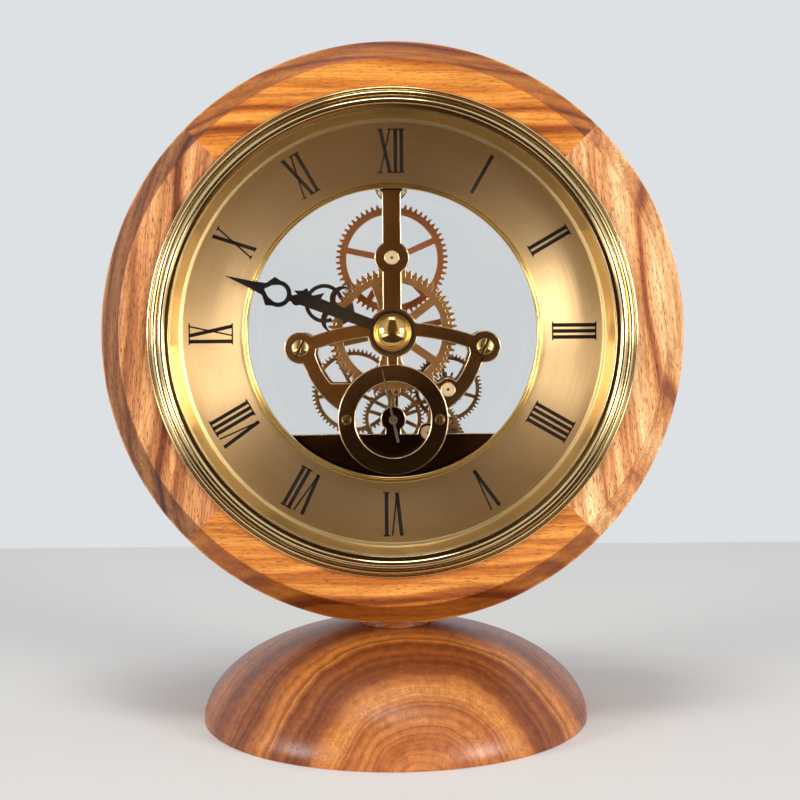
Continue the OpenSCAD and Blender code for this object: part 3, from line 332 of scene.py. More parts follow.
inPores = blended(woodGroup, 1.0, toned, woodGrain["poreTone"], "MULTIPLY")
roughened = maths(woodGroup, "MULTIPLY_ADD", pores, woodGrain["poreRough"], woodIn.outputs["Gloss"])
raised = maths(woodGroup, "MULTIPLY", fibreSwing, woodGrain["fibreHeight"])
feedAll(woodGroup, woodOut, {
    "Color": blended(woodGroup, pores, toned, inPores),
    "Roughness": maths(woodGroup, "MULTIPLY_ADD", fibreSwing, woodGrain["fibreRough"], roughened),
    "Height": maths(woodGroup, "MULTIPLY_ADD", pores, woodGrain["poreHeight"], raised),
})

# Metal: smudges and fine wiping marks that break up a polish
metalWear = {
    "smudgeDetail": 4.0,
    "smudgeMiddle": 0.45,
    "hairs": {"scale": (300, 300, 4000), "detail": 2.0},
    "tarnishFrom": 0.45,
    "tarnishTo": 0.75,
    "tarnishTone": (0.62, 0.5, 0.4),
}
metalGroup, metalIn, metalOut = makeGroup(
    "handledMetal",
    [("Color", "Color", (0.8, 0.6, 0.3, 1)), ("Gloss", "Float", 0.15), ("Smudge", "Float", 0.08),
     ("Tarnish", "Float", 0.2), ("Size", "Float", 120.0)],
    [("Color", "Color"), ("Roughness", "Float"), ("Height", "Float")])
metalSpace = addNode(metalGroup, "TexCoord").outputs["Object"]
smudges = addNode(metalGroup, "TexNoise", {"Vector": metalSpace, "Scale": metalIn.outputs["Size"],
                                           "Detail": metalWear["smudgeDetail"]}).outputs[0]
smudgeSwing = maths(metalGroup, "SUBTRACT", smudges, metalWear["smudgeMiddle"])
tarnishMask = addNode(metalGroup, "MapRange", {"Value": smudges, "From Min": metalWear["tarnishFrom"],
                                               "From Max": metalWear["tarnishTo"]})
tarnishShare = maths(metalGroup, "MULTIPLY", tarnishMask.outputs[0], metalIn.outputs["Tarnish"])
tarnished = blended(metalGroup, 1.0, metalIn.outputs["Color"], metalWear["tarnishTone"], "MULTIPLY")
feedAll(metalGroup, metalOut, {
    "Color": blended(metalGroup, tarnishShare, metalIn.outputs["Color"], tarnished),
    "Roughness": maths(metalGroup, "MULTIPLY_ADD", smudgeSwing, metalIn.outputs["Smudge"],
                       metalIn.outputs["Gloss"]),
    "Height": noise(metalGroup, metalSpace, **metalWear["hairs"]),
})


# Scratch is the depth of the wiping marks in mm, and size the number of smudges in a metre
def metal(name, colour, gloss, smudge=0.08, tarnish=0.2, size=120.0, scratch=0.002):
    material, tree, shader = newMaterial(name)
    look = place(tree, metalGroup, Color=(*shade(*colour), 1), Gloss=gloss, Smudge=smudge, Tarnish=tarnish,
                 Size=size)
    shader.inputs["Metallic"].default_value = 1.0
    shown(tree, shader, look, scratch * mm)
    return material


# Painted shade in the sawn slots of screws, full from a given depth below the tops of their heads, where
# the sawn bottoms are also rougher
slotShade = {"tone": (0.05, 0.03, 0.015), "rough": 0.4, "startsAt": 0.7}


def shadeSlots(material, node, depth):
    tree = material.node_tree
    shader = tree.nodes["Principled BSDF"]
    low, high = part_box(node)
    parts = addNode(tree, "SeparateXYZ", {"Vector": addNode(tree, "TexCoord").outputs["Object"]})
    away = maths(tree, "ABSOLUTE", maths(tree, "SUBTRACT", parts.outputs["Y"], (low.y + high.y) / 2))
    top = (high.y - low.y) / 2
    sunk = addNode(tree, "MapRange", {"Value": away, "From Min": top - depth,
                                      "From Max": top - slotShade["startsAt"] * depth,
                                      "To Min": 1.0, "To Max": 0.0}).outputs[0]
    colour = shader.inputs["Base Color"].links[0].from_socket
    rough = shader.inputs["Roughness"].links[0].from_socket
    feedAll(tree, shader, {"Base Color": blended(tree, sunk, colour, slotShade["tone"]),
                           "Roughness": maths(tree, "MULTIPLY_ADD", sunk, slotShade["rough"], rough)})


# Moulded plastic and rubber, with a fine spark-eroded grain
mould = {
    "grainDetail": 1.0,
    "dustScale": 90.0,
    "dustDetail": 5.0,
    "dustFrom": 0.5,
    "dustTo": 0.8,
    "dustTone": (0.36, 0.34, 0.31),
    "roughSwing": 0.14,
}
plasticGroup, plasticIn, plasticOut = makeGroup(
    "mouldedGrain",
    [("Color", "Color", (0.1, 0.1, 0.1, 1)), ("Gloss", "Float", 0.45), ("Grain", "Float", 2500.0),
     ("Dust", "Float", 0.1)],
    [("Color", "Color"), ("Roughness", "Float"), ("Height", "Float")])
plasticSpace = addNode(plasticGroup, "TexCoord").outputs["Object"]
grains = addNode(plasticGroup, "TexNoise", {"Vector": plasticSpace, "Scale": plasticIn.outputs["Grain"],
                                            "Detail": mould["grainDetail"]})
specks = addNode(plasticGroup, "TexNoise", {"Vector": plasticSpace, "Scale": mould["dustScale"],
                                            "Detail": mould["dustDetail"]}).outputs[0]
dustMask = addNode(plasticGroup, "MapRange", {"Value": specks, "From Min": mould["dustFrom"],
                                              "From Max": mould["dustTo"]})
dusted = maths(plasticGroup, "MULTIPLY", dustMask.outputs[0], plasticIn.outputs["Dust"])
feedAll(plasticGroup, plasticOut, {
    "Color": blended(plasticGroup, dusted, plasticIn.outputs["Color"], mould["dustTone"]),
    "Roughness": maths(plasticGroup, "MULTIPLY_ADD", specks, mould["roughSwing"],
                       plasticIn.outputs["Gloss"]),
    "Height": grains.outputs[0],
})


# Depth is that of the grain in mm, and specular is set where the surface is duller than usual
def plastic(name, colour, gloss, grain=2500.0, depth=0.01, dust=0.1, specular=0.5):
    material, tree, shader = newMaterial(name)
    look = place(tree, plasticGroup, Color=(*shade(*colour), 1), Gloss=gloss, Grain=grain, Dust=dust)
    shader.inputs["Specular IOR Level"].default_value = specular
    shown(tree, shader, look, depth * mm)
    return material


# Clear pieces let lamps through, so that what lies behind them is lit
clearIor = 1.48


def clear(name, colour):
    material, tree, shader = newMaterial(name)
    shader.inputs["Base Color"].default_value = (*colour, 1)
    shader.inputs["Roughness"].default_value = 0.0
    shader.inputs["IOR"].default_value = clearIor
    shader.inputs["Transmission Weight"].default_value = 1.0
    path = addNode(tree, "LightPath")
    through = addNode(tree, "BsdfTransparent", {"Color": (*colour, 1)})
    mixed = addNode(tree, "MixShader", {0: path.outputs["Is Shadow Ray"], 1: shader.outputs[0],
                                        2: through.outputs[0]})
    tree.links.new(mixed.outputs[0], tree.nodes["Material Output"].inputs["Surface"])
    return material


print("shared effects ready")

# Wooden ring: four quarters with the grain along each board
ringWood = {
    "boardTurn": {"top": 0, "left": 84, "bottom": 0, "right": 97},
    "heart": {"top": (0.03, -0.02, 0.04), "left": (0.05, 0.03, 0.06), "bottom": (-0.04, 0.05, 0.03),
              "right": (0.02, 0.02, -0.05)},
    # Each board's own tones, with the left board darkened by painted shade and the right board lightened by
    # painted light
    "dark": {"top": (136, 60, 18), "left": (116, 60, 34), "bottom": (144, 70, 24), "right": (160, 90, 50)},
    "middle": {"top": (200, 116, 40), "left": (190, 122, 74), "bottom": (202, 120, 46),
               "right": (224, 156, 98)},
    "light": {"top": (226, 148, 62), "left": (220, 156, 100), "bottom": (230, 154, 72),
              "right": (246, 194, 138)},
    "bandSpots": {"dark": 0.3, "middle": 0.44, "light": 0.64},
    "bandsPerMetre": 170,
    "bandDetail": 3.0,
    "bandRoughness": 0.5,
    "wander": {"scale": (9, 30, 30), "detail": 2.0},
    "drift": 0.018,
    "lean": 0.55,
    "pores": {"top": 0.6, "left": 1.0, "bottom": 0.7, "right": 1.0},
    "fibres": {"top": 0.42, "left": 0.56, "bottom": 0.42, "right": 0.5},
    "gloss": 0.42,
    "grainDepth": 0.03 * mm,
    "specular": 0.3,
    "coat": 0.1,
    "coatRough": 0.3,
    "cornerEase": 0.5 * mm,
    "chamfer": 6.7 * mm,
    # Painted shade on the chamfer, a multiplier for each board: darkest on the left, faint on the right,
    # mostly left off the outermost rim
    "chamferShade": {"top": (0.56, 0.47, 0.37), "left": (0.44, 0.36, 0.29), "bottom": (0.52, 0.42, 0.3),
                    "right": (0.88, 0.8, 0.7)},
    "chamferFade": (-0.2 * mm, 0.3 * mm),
    "paleRim": 0.5 * mm,
    "rimFade": (-0.3 * mm, 0.1 * mm),
    "rimShadeShare": 0.1,
    "boreClear": 0.1 * mm,
    "screwHole": 2.25 * mm,
    "screwSpare": 0.5 * mm,
    "holeSides": 48,
    "start": {"top": 45, "left": 135, "bottom": 225, "right": 315},
    "steps": 96,
    "smoothUpTo": 35,
}


# How far a point lies above the ring's axis, and to the right of it
def fromAxis(tree, space):
    parts = addNode(tree, "SeparateXYZ", {"Vector": space})
    return maths(tree, "SUBTRACT", parts.outputs["Z"], ringZ), parts.outputs["X"]


# A value that changes where a distance passes an edge
def past(tree, reach, edge, fade, before=0.0, after=1.0):
    mask = addNode(tree, "MapRange", {"Value": reach, "From Min": edge + fade[0],
                                      "From Max": edge + fade[1], "To Min": before, "To Max": after})
    return mask.outputs[0]


def ringWoodMaterial(side):
    material, tree, shader = newMaterial("oiledWood_" + side)
    space = addNode(tree, "TexCoord").outputs["Object"]
    turn = (0, math.radians(ringWood["boardTurn"][side]), 0)
    board = addNode(tree, "Mapping", {"Vector": space, "Location": ringWood["heart"][side],
                                      "Rotation": turn}).outputs[0]
    parts = addNode(tree, "SeparateXYZ", {"Vector": board})
    leaning = maths(tree, "MULTIPLY", parts.outputs["Y"], ringWood["lean"])
    depth = maths(tree, "ADD", parts.outputs["Z"], leaning)
    wander = noise(tree, board, **ringWood["wander"])
    rings = maths(tree, "MULTIPLY_ADD", wander, ringWood["drift"], depth)
    bands = addNode(tree, "TexNoise", {"W": maths(tree, "MULTIPLY", rings, ringWood["bandsPerMetre"]),
                                       "Scale": 1.0, "Detail": ringWood["bandDetail"],
                                       "Roughness": ringWood["bandRoughness"]}, noise_dimensions="1D")
    tone = ramp(tree, bands.outputs[0], [(spot, shade(*ringWood[name][side]))
                                         for name, spot in ringWood["bandSpots"].items()])
    reach = lengthOf(tree, *fromAxis(tree, space))
    # The chamfer gets painted shade by board, and the outermost rim keeps only a little of it
    onChamfer = past(tree, reach, ringR - ringWood["chamfer"], ringWood["chamferFade"])
    offRim = past(tree, reach, ringR - ringWood["paleRim"], ringWood["rimFade"], 1.0, ringWood["rimShadeShare"])
    chamferShaded = blended(tree, 1.0, tone, ringWood["chamferShade"][side], "MULTIPLY")
    bandWithShade = blended(tree, maths(tree, "MULTIPLY", onChamfer, offRim), tone, chamferShaded)
    look = place(tree, woodGroup, Vector=board, Band=bandWithShade, Pores=ringWood["pores"][side],
                 Fibres=ringWood["fibres"][side], Gloss=ringWood["gloss"])
    shown(tree, shader, look, ringWood["grainDepth"])
    shader.inputs["Specular IOR Level"].default_value = ringWood["specular"]
    shader.inputs["Coat Weight"].default_value = ringWood["coat"]
    shader.inputs["Coat Roughness"].default_value = ringWood["coatRough"]
    return material


# A drilled hole up the stand's axis, as far as top
def boreHole(piece, radius, top):
    deselectAll()
    bpy.ops.mesh.primitive_cylinder_add(vertices=ringWood["holeSides"], radius=radius, depth=2 * top,
                                        location=(0, 0, 0))
    drill = bpy.context.object
    applyModifier(piece, "BOOLEAN", operation="DIFFERENCE", object=drill, solver="EXACT")
    bpy.data.objects.remove(drill)


def makeRing():
    bore = radiusOf("grip_band") + ringWood["boreClear"]
    cut = ringWood["chamfer"]
    corners = [(bore, -ringHalf), (ringR - cut, -ringHalf), (ringR, cut - ringHalf),
               (ringR, ringHalf - cut), (ringR - cut, ringHalf), (bore, ringHalf)]
    outline = eased(corners, ringWood["cornerEase"])
    for side, start in ringWood["start"].items():
        piece = turned("ringBoard_" + side, outline, ringWood["steps"], start=start, sweep=90)
        if side == "bottom":
            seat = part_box("neck")[1].z
            editAll(piece)
            bpy.ops.mesh.bisect(plane_co=(0, 0, seat), plane_no=(0, 0, 1), use_fill=True, clear_inner=True)
            bpy.ops.object.mode_set(mode="OBJECT")
            boreHole(piece, ringWood["screwHole"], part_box("assembly_screw")[1].z + ringWood["screwSpare"])
        smoothed(piece, ringWood["smoothUpTo"])
        dressed(piece, ringWoodMaterial(side), "ring_segment_" + side)


makeRing()
print("wooden ring ready")

# Base: half a dome turned from a block whose growth rings arch across its front, and whose outer bands,
# towards the dome's top under the ring, are darkened by painted shadow of the ring
base = {
    "heart": (8 * mm, -55 * mm, -9 * mm),
    "turn": (27, 0, -90),
    "reach": 0.1,
    "bands": [
        (0.0, (190, 112, 60)), (0.08, (206, 130, 70)), (0.14, (178, 100, 50)), (0.19, (204, 128, 66)),
        (0.24, (184, 106, 50)), (0.29, (216, 142, 72)), (0.325, (202, 124, 56)), (0.345, (146, 76, 32)),
        (0.39, (126, 62, 24)), (0.42, (158, 88, 40)), (0.45, (132, 66, 26)), (0.475, (206, 128, 58)),
        # From 0.55 on the bands are darker overall: growth rings with painted shadow of the ring
        (0.52, (194, 118, 54)), (0.55, (124, 64, 28)), (0.60, (166, 96, 48)), (0.64, (118, 60, 28)),
        (0.70, (176, 104, 54)), (0.76, (122, 64, 32)), (0.84, (170, 100, 56)), (0.92, (118, 62, 32)),
        (1.0, (150, 86, 46)),
    ],
    "wander": {"scale": (16, 34, 34), "detail": 2.5},
    "drift": 0.009,
    "linesPerMetre": 700.0,
    "lineDetail": 4.0,
    "lineNudge": 0.05,
    "lineTones": [(0.34, (0.66, 0.56, 0.48)), (0.6, (1.0, 1.0, 1.0))],
    "lineShare": 0.85,
    "pores": 0.6,
    "fibres": 0.3,
    "gloss": 0.36,
    "grainDepth": 0.04 * mm,
    "specular": 0.3,
    "coat": 0.2,
    "coatRough": 0.26,
    "rimEase": 0.35 * mm,
    "rim": [(2, 0), (0.6, 0.25), (0.1, 1)],
    "screwHole": 2.5 * mm,
    "headHole": 5.3 * mm,
    "headDepth": 8 * mm,
    "domeSteps": 40,
    "steps": 192,
    "neckEase": 0.35 * mm,
    "neckSteps": 96,
    "smoothUpTo": 40,
}


def baseWoodMaterial():
    material, tree, shader = newMaterial("archedWood")
    space = addNode(tree, "TexCoord").outputs["Object"]
    moved = addNode(tree, "VectorMath", {0: space, 1: base["heart"]}, operation="SUBTRACT")
    turn = tuple(math.radians(angle) for angle in base["turn"])
    block = addNode(tree, "Mapping", {"Vector": moved.outputs[0], "Rotation": turn}).outputs[0]
    parts = addNode(tree, "SeparateXYZ", {"Vector": block})
    away = lengthOf(tree, parts.outputs["Y"], parts.outputs["Z"])
    wander = maths(tree, "SUBTRACT", noise(tree, block, **base["wander"]), noiseMiddle)
    wavy = maths(tree, "MULTIPLY_ADD", wander, base["drift"], away)
    lines = addNode(tree, "TexNoise", {"W": maths(tree, "MULTIPLY", wavy, base["linesPerMetre"]),
                                       "Scale": 1.0, "Detail": base["lineDetail"]},
                    noise_dimensions="1D").outputs[0]
    lineSwing = maths(tree, "SUBTRACT", lines, noiseMiddle)
    share = maths(tree, "DIVIDE", wavy, base["reach"])
    nudged = maths(tree, "MULTIPLY_ADD", lineSwing, base["lineNudge"], share)
    band = ramp(tree, nudged, [(spot, shade(*colour)) for spot, colour in base["bands"]])
    lined = blended(tree, base["lineShare"], band, ramp(tree, lines, base["lineTones"]), "MULTIPLY")
    look = place(tree, woodGroup, Vector=block, Band=lined, Pores=base["pores"], Fibres=base["fibres"],
                 Gloss=base["gloss"])
    shown(tree, shader, look, base["grainDepth"])
    shader.inputs["Specular IOR Level"].default_value = base["specular"]
    shader.inputs["Coat Weight"].default_value = base["coat"]
    shader.inputs["Coat Roughness"].default_value = base["coatRough"]
    return material


def makeStand():
    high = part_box("dome_base")[1]
    baseR, seat = high.x, high.z
    neckR, neckTop = radiusOf("neck"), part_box("neck")[1].z
    domeH = seat / math.sqrt(1 - (neckR / baseR) ** 2)
    hole, head, recess = base["screwHole"], base["headHole"], base["headDepth"]
    curve = []
    for k in range(base["domeSteps"] + 1):
        turn = math.radians(90 * k / base["domeSteps"])
        height = domeH * math.sin(turn)
        if height < seat:
            curve.append((baseR * math.cos(turn), height))
    ease = base["rimEase"]
    foot = [(head, 0)] + [(baseR - inward * ease, rise * ease) for inward, rise in base["rim"]]
    # The eased foot stands in for the first two points of the curve
    outline = foot + curve[2:] + [(neckR, seat), (hole, seat), (hole, recess), (head, recess)]
    dome = turned("turnedDome", outline, base["steps"], upright=True)
    smoothed(dome, base["smoothUpTo"])
    dressed(dome, baseWoodMaterial(), "dome_base")
    collar = eased([(hole, seat), (neckR, seat), (neckR, neckTop), (hole, neckTop)], base["neckEase"])
    neck = turned("turnedNeck", collar, base["neckSteps"], upright=True)
    smoothed(neck, base["smoothUpTo"])
    dressed(neck, baseWoodMaterial(), "neck")


makeStand()
print("stand ready")

# Bezel, reflector, inner rim and dial are turned pieces. A bead is given by the radius and level of
# its middle, its own radius, and the angles at its two ends.
fineSteps = 320
bezel = {
    "look": {"colour": (230, 208, 160), "gloss": 0.12, "smudge": 0.05, "tarnish": 0.12, "size": 60.0,
             "scratch": 0.0002},
    "flange": 74.1 * mm,
    "sleeveOut": 68.9 * mm,
    "sleeveIn": 68.4 * mm,
    "beads": [(73.98 * mm, 1 * mm, 0.6 * mm, -75, 170), (72.3 * mm, 2.1 * mm, 0.85 * mm, -42, 182),
              (69.9 * mm, 3 * mm, 1 * mm, -45, 180)],
    "beadSteps": 16,
    "lipIn": 67.7 * mm,
    "lipLevel": 2.4 * mm,
    "lipThick": 0.6 * mm,
    "lipEase": 0.15 * mm,
    "smoothUpTo": 50,
}


def makeBezel():
    flange, foot = ringHalf, backOf("bezel")
    sleeveOut, sleeveIn, lipIn = bezel["sleeveOut"], bezel["sleeveIn"], bezel["lipIn"]
    outline = [(sleeveIn, foot), (sleeveOut, foot), (sleeveOut, flange), (bezel["flange"], flange)]
    for middle, level, radius, start, end in bezel["beads"]:
        outline += arc((middle, flange + level), radius, start, end, bezel["beadSteps"])
    lip = flange + bezel["lipLevel"]
    lipTop = lip + bezel["lipThick"]
    lead = curveSteps + 1  # points of the first corner, which only leads in from the last bead
    outline += eased([(sleeveOut, lipTop), (lipIn, lipTop), (lipIn, lip), (sleeveIn, lip)],
                     bezel["lipEase"])[lead:]
    piece = smoothed(turned("turnedBezel", outline, fineSteps), bezel["smoothUpTo"])
    dressed(piece, metal("lacqueredBrass", **bezel["look"]), "bezel")


reflector = {
    "look": {"colour": (206, 182, 132), "gloss": 0.34, "smudge": 0.06, "tarnish": 0.15, "size": 80.0,
             "scratch": 0.004},
    "inner": 64.8 * mm,
    "frontWidth": 0.5 * mm,
    "step": 1.0 * mm,
    "footThick": 0.7 * mm,
    "ease": 0.2 * mm,
    "smoothUpTo": 40,
}


def makeReflector():
    foot, front = backOf("reflector_ring"), frontOf("reflector_ring")
    outer, inner, step = radiusOf("reflector_ring"), reflector["inner"], reflector["step"]
    corners = [(inner, foot), (outer, foot), (outer, front), (outer - reflector["frontWidth"], front),
               (inner + step, foot + step), (inner, foot + reflector["footThick"])]
    piece = smoothed(turned("slopedReflector", eased(corners, reflector["ease"]), fineSteps),
                     reflector["smoothUpTo"])
    dressed(piece, metal("satinBrass", **reflector["look"]), "reflector_ring")


dial = {
    "colour": (230, 194, 144),
    "look": {"Gloss": 0.37, "Smudge": 0.04, "Tarnish": 0.05, "Size": 70.0},
    "hole": 46.4 * mm,
    "marksPerMetre": 5200.0,
    "marksAround": 1.6,
    "markDetail": 2.0,
    "markTones": [(0.3, (0.86, 0.86, 0.86)), (0.7, (1.0, 1.0, 1.0))],
    "markDepth": 0.003 * mm,
    "anisotropy": 0.9,
    "brushTurn": 0.25,
    "smoothUpTo": 40,
}
dialRim = {
    "look": {"colour": (246, 214, 140), "gloss": 0.14, "smudge": 0.05, "tarnish": 0.1, "size": 80.0,
             "scratch": 0.0002},
    "inner": 44.5 * mm,
    "dialBead": (45.95 * mm, 0.44 * mm, 0.42 * mm, -35, 190),
    "frontBead": (45.0 * mm, -0.49 * mm, 0.48 * mm, -10, 180),
    "beadSteps": 10,
    "smoothUpTo": 50,
}


def makeRim():
    back, front = backOf("dial_rim"), frontOf("dial_rim")
    outer, inner, hole = radiusOf("dial_rim"), dialRim["inner"], dial["hole"]
    dialBack, dialFront = backOf("dial"), frontOf("dial")
    outline = [(inner, back), (outer, back), (outer, dialBack), (hole, dialBack), (hole, dialFront)]
    for bead, under in (("dialBead", dialFront), ("frontBead", front)):
        middle, level, radius, start, end = dialRim[bead]
        outline += arc((middle, under + level), radius, start, end, dialRim["beadSteps"])
    piece = smoothed(turned("polishedRim", outline, fineSteps), dialRim["smoothUpTo"])
    dressed(piece, metal("rimBrass", **dialRim["look"]), "dial_rim")


# The dial's fine turning marks run in circles, so light fans out in wedges
def dialMaterial():
    material, tree, shader = newMaterial("circularBrushed")
    rise, across = fromAxis(tree, addNode(tree, "TexCoord").outputs["Object"])
    reach = lengthOf(tree, rise, across)
    angle = maths(tree, "ARCTAN2", rise, across)
    spun = addNode(tree, "CombineXYZ", {"X": maths(tree, "MULTIPLY", reach, dial["marksPerMetre"]),
                                        "Y": maths(tree, "MULTIPLY", angle, dial["marksAround"])})
    marks = addNode(tree, "TexNoise", {"Vector": spun.outputs[0], "Scale": 1.0,
                                       "Detail": dial["markDetail"]}).outputs[0]
    look = place(tree, metalGroup, Color=(*shade(*dial["colour"]), 1), **dial["look"])
    marked = blended(tree, 1.0, look.outputs["Color"], ramp(tree, marks, dial["markTones"]), "MULTIPLY")
    bump = addNode(tree, "Bump", {"Height": marks, "Distance": dial["markDepth"], "Strength": 1.0})
    around = addNode(tree, "Tangent", direction_type="RADIAL", axis="Y")
    feedAll(tree, shader, {"Base Color": marked, "Roughness": look.outputs["Roughness"],
                           "Normal": bump.outputs[0], "Tangent": around.outputs[0]})
    shader.inputs["Metallic"].default_value = 1.0
    shader.inputs["Anisotropic"].default_value = dial["anisotropy"]
    shader.inputs["Anisotropic Rotation"].default_value = dial["brushTurn"]
    return material


def makeDial():
    back, front = backOf("dial"), frontOf("dial")
    outer, hole = radiusOf("dial"), dial["hole"]
    piece = turned("brushedDial", [(hole, back), (outer, back), (outer, front), (hole, front)], fineSteps)
    smoothed(piece, dial["smoothUpTo"])
    dressed(piece, dialMaterial(), "dial")


makeBezel()
makeReflector()
makeRim()
makeDial()
print("bezel and dial ready")

# Numerals: painted strokes, feet towards the middle
numerals = {
    "foot": 49.4 * mm,
    "height": 13.3 * mm,
    "thick": 1.15 * mm,
    "thin": 0.5 * mm,
    "armInset": 0.75,
    "serif": 0.42 * mm,
    "serifReach": 1.6,
    "overhang": 0.45 * mm,
    "pitch": 1.85 * mm,
    "paint": 0.03 * mm,
    "hourTurn": -30,
    "hours": ["XII", "I", "II", "III", "IIII", "V", "VI", "VII", "VIII", "IX", "X", "XI"],
    "widths": {"I": 1.85 * mm, "V": 4.6 * mm, "X": 4.6 * mm},
    "look": {"colour": (22, 15, 12), "gloss": 0.4, "grain": 3000.0, "depth": 0.003, "dust": 0.01,
             "specular": 0.15},
}


# Strokes of one numeral: from, to and width, with x across and y outwards
def strokesOf(letters):
    n = numerals
    top, thick, thin, serif = n["height"], n["thick"], n["thin"], n["serif"]
    wide = sum(n["widths"][letter] for letter in letters)
    left = -wide / 2
    strokes = []
    for letter in letters:
        room = n["widths"][letter]
        middle = left + room / 2
        arm = room / 2 - thick * n["armInset"]
        if letter == "I":
            strokes.append(((middle, 0), (middle, top), thick))
        elif letter == "V":
            strokes.append(((middle - arm, top), (middle, 0), thick))
            strokes.append(((middle + arm, top), (middle, 0), thin))
        else:
            strokes.append(((middle - arm, top), (middle + arm, 0), thick))
            strokes.append(((middle + arm, top), (middle - arm, 0), thin))
            reach = n["overhang"] * n["serifReach"]
            for side in (-1, 1):
                for end in (0, top):
                    tip = middle + side * arm
                    strokes.append(((tip - reach, end), (tip + reach, end), serif))
        left += room
    bars = letters.count("I")
    if bars and len(letters) > 1:
        spread = wide / 2 - n["widths"]["I"] / 2 + thick / 2 + n["overhang"]
        barRun = (bars - 1) * n["pitch"] + thick + 2 * n["overhang"]
        first = -spread if letters[0] == "I" else spread - barRun
        for end in (0, top):
            strokes.append(((first, end), (spread, end), serif))
    return strokes


def makeNumerals():
    face = frontOf("dial")
    painted = []
    for hour, letters in enumerate(numerals["hours"]):
        turn = math.radians(numerals["hourTurn"] * hour)
        for start, end, width in strokesOf(letters):
            deselectAll()
            bpy.ops.mesh.primitive_plane_add(size=1)
            stroke = bpy.context.object
            start, end = Vector(start), Vector(end)
            along = end - start
            across = Vector((-along.y, along.x)).normalized() * width / 2
            corners = [start - across, end - across, start + across, end + across]
            for vertex, corner in zip(stroke.data.vertices, corners):
                reach = numerals["foot"] + corner.y
                x = corner.x * math.cos(turn) - reach * math.sin(turn)
                z = corner.x * math.sin(turn) + reach * math.cos(turn)
                vertex.co = (x, -face, ringZ + z)
            painted.append(stroke)
    deselectAll()
    for stroke in painted:
        stroke.select_set(True)
    bpy.context.view_layer.objects.active = painted[0]
    bpy.ops.object.join()
    piece = bpy.context.object
    piece.name = piece.data.name = "paintedNumerals"
    editAll(piece)
    bpy.ops.mesh.extrude_region_move(TRANSFORM_OT_translate={"value": (0, -numerals["paint"], 0)})
    bpy.ops.mesh.select_all(action="SELECT")
    bpy.ops.mesh.normals_make_consistent(inside=False)
    bpy.ops.object.mode_set(mode="OBJECT")
    dressed(piece, plastic("numeralPaint", **numerals["look"]), "dial", replace=False)


makeNumerals()
print("numerals ready")

# Plates, wheels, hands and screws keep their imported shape, with broken edges and their own finish:
# colour, gloss, and the width of the broken edge in mm
polish = {
    "front_plate": ((196, 150, 94), 0.16, 0.3),
    "back_plate": ((150, 116, 68), 0.18, 0.3),
    "lower_plate": ((110, 82, 52), 0.1, 0.3),
    "seconds_ring": ((140, 114, 78), 0.14, 0.3),
    "plate_pillars": ((186, 146, 84), 0.18, 0.1),
    "plate_screws": ((234, 198, 124), 0.16, 0.12),
    "seconds_ring_screws": ((196, 160, 100), 0.14, 0.06),
    "motion_wheel": ((216, 140, 92), 0.36, 0.12),
    "centre_wheel": ((206, 152, 92), 0.34, 0.12),
    "hour_wheel": ((206, 152, 92), 0.34, 0.12),
    "third_wheel": ((176, 134, 84), 0.34, 0.12),
    "transfer_wheel": ((140, 106, 68), 0.34, 0.12),
    "setting_wheel": ((150, 116, 72), 0.34, 0.08),
    "seconds_wheel": ((160, 122, 76), 0.34, 0.1),
    "drive_wheel": ((160, 122, 76), 0.34, 0.08),
    "hour_pipe": ((190, 150, 90), 0.18, 0.06),
    "dome_nut": ((228, 190, 116), 0.1, 0.15),
}
steel = {"gloss": 0.24, "smudge": 0.06, "tarnish": 0.05}
steelPieces = {
    "minute_arbor": (196, 192, 184), "seconds_arbor": (196, 192, 184), "third_pinion": (184, 180, 172),
    "motion_pinion": (184, 180, 172), "transfer_pinion": (184, 180, 172), "drive_arbor": (190, 188, 182),
    "setting_stem": (196, 194, 188), "clutch_washer": (200, 198, 192), "motor_bridge": (176, 176, 176),
    "rear_screws": (188, 188, 190), "assembly_screw": (150, 150, 150), "stator": (150, 150, 152),
    "battery_contacts": (200, 200, 202), "battery": (150, 152, 156), "second_hand": (206, 196, 176),
}
plasticPieces = {
    "case_shell": ((40, 37, 34), 0.5), "rear_frame": ((52, 48, 44), 0.5),
    "battery_door": ((52, 48, 44), 0.5), "movement_housing": ((46, 42, 38), 0.5),
    "grip_band": ((24, 24, 24), 0.7), "setting_knob": ((30, 30, 30), 0.45),
    "circuit_board": ((38, 92, 62), 0.35), "rotor": ((66, 66, 70), 0.4),
    "bushings": ((176, 150, 112), 0.4), "coil": ((168, 92, 48), 0.35),
}
clearPieces = {
    "lens": ("lensGlass", (0.98, 0.99, 0.99)),
    "rear_window": ("windowAcrylic", (0.96, 0.97, 0.97)),
}
# Painted highlight: a paler metal on the broken edges of plates and wheels
edgeHighlightLook = {"colour": (255, 232, 190), "gloss": 0.22, "smudge": 0.03, "tarnish": 0.05}
edgeHighlightPieces = ["front_plate", "back_plate", "lower_plate", "seconds_ring", "motion_wheel",
                   "centre_wheel", "hour_wheel", "third_wheel", "transfer_wheel", "seconds_wheel",
                   "drive_wheel", "setting_wheel"]
slotDepths = {"plate_screws": 0.6 * mm, "seconds_ring_screws": 0.2 * mm}
handLacquer = {"colour": (9, 7, 7), "gloss": 0.3, "grain": 3500.0, "depth": 0.002, "dust": 0.004,
               "specular": 0.25}
handEdge = 0.1 * mm
# A black collet on the minute hand, round the dome nut, that also gives painted shadow there
shadowCollet = {"hole": 3.8 * mm, "radius": 6.8 * mm, "inset": 0.04 * mm, "ease": 0.08 * mm, "steps": 96,
          "smoothUpTo": 50}


def repaint(node, material):
    nodes[node].data.materials.clear()
    nodes[node].data.materials.append(material)


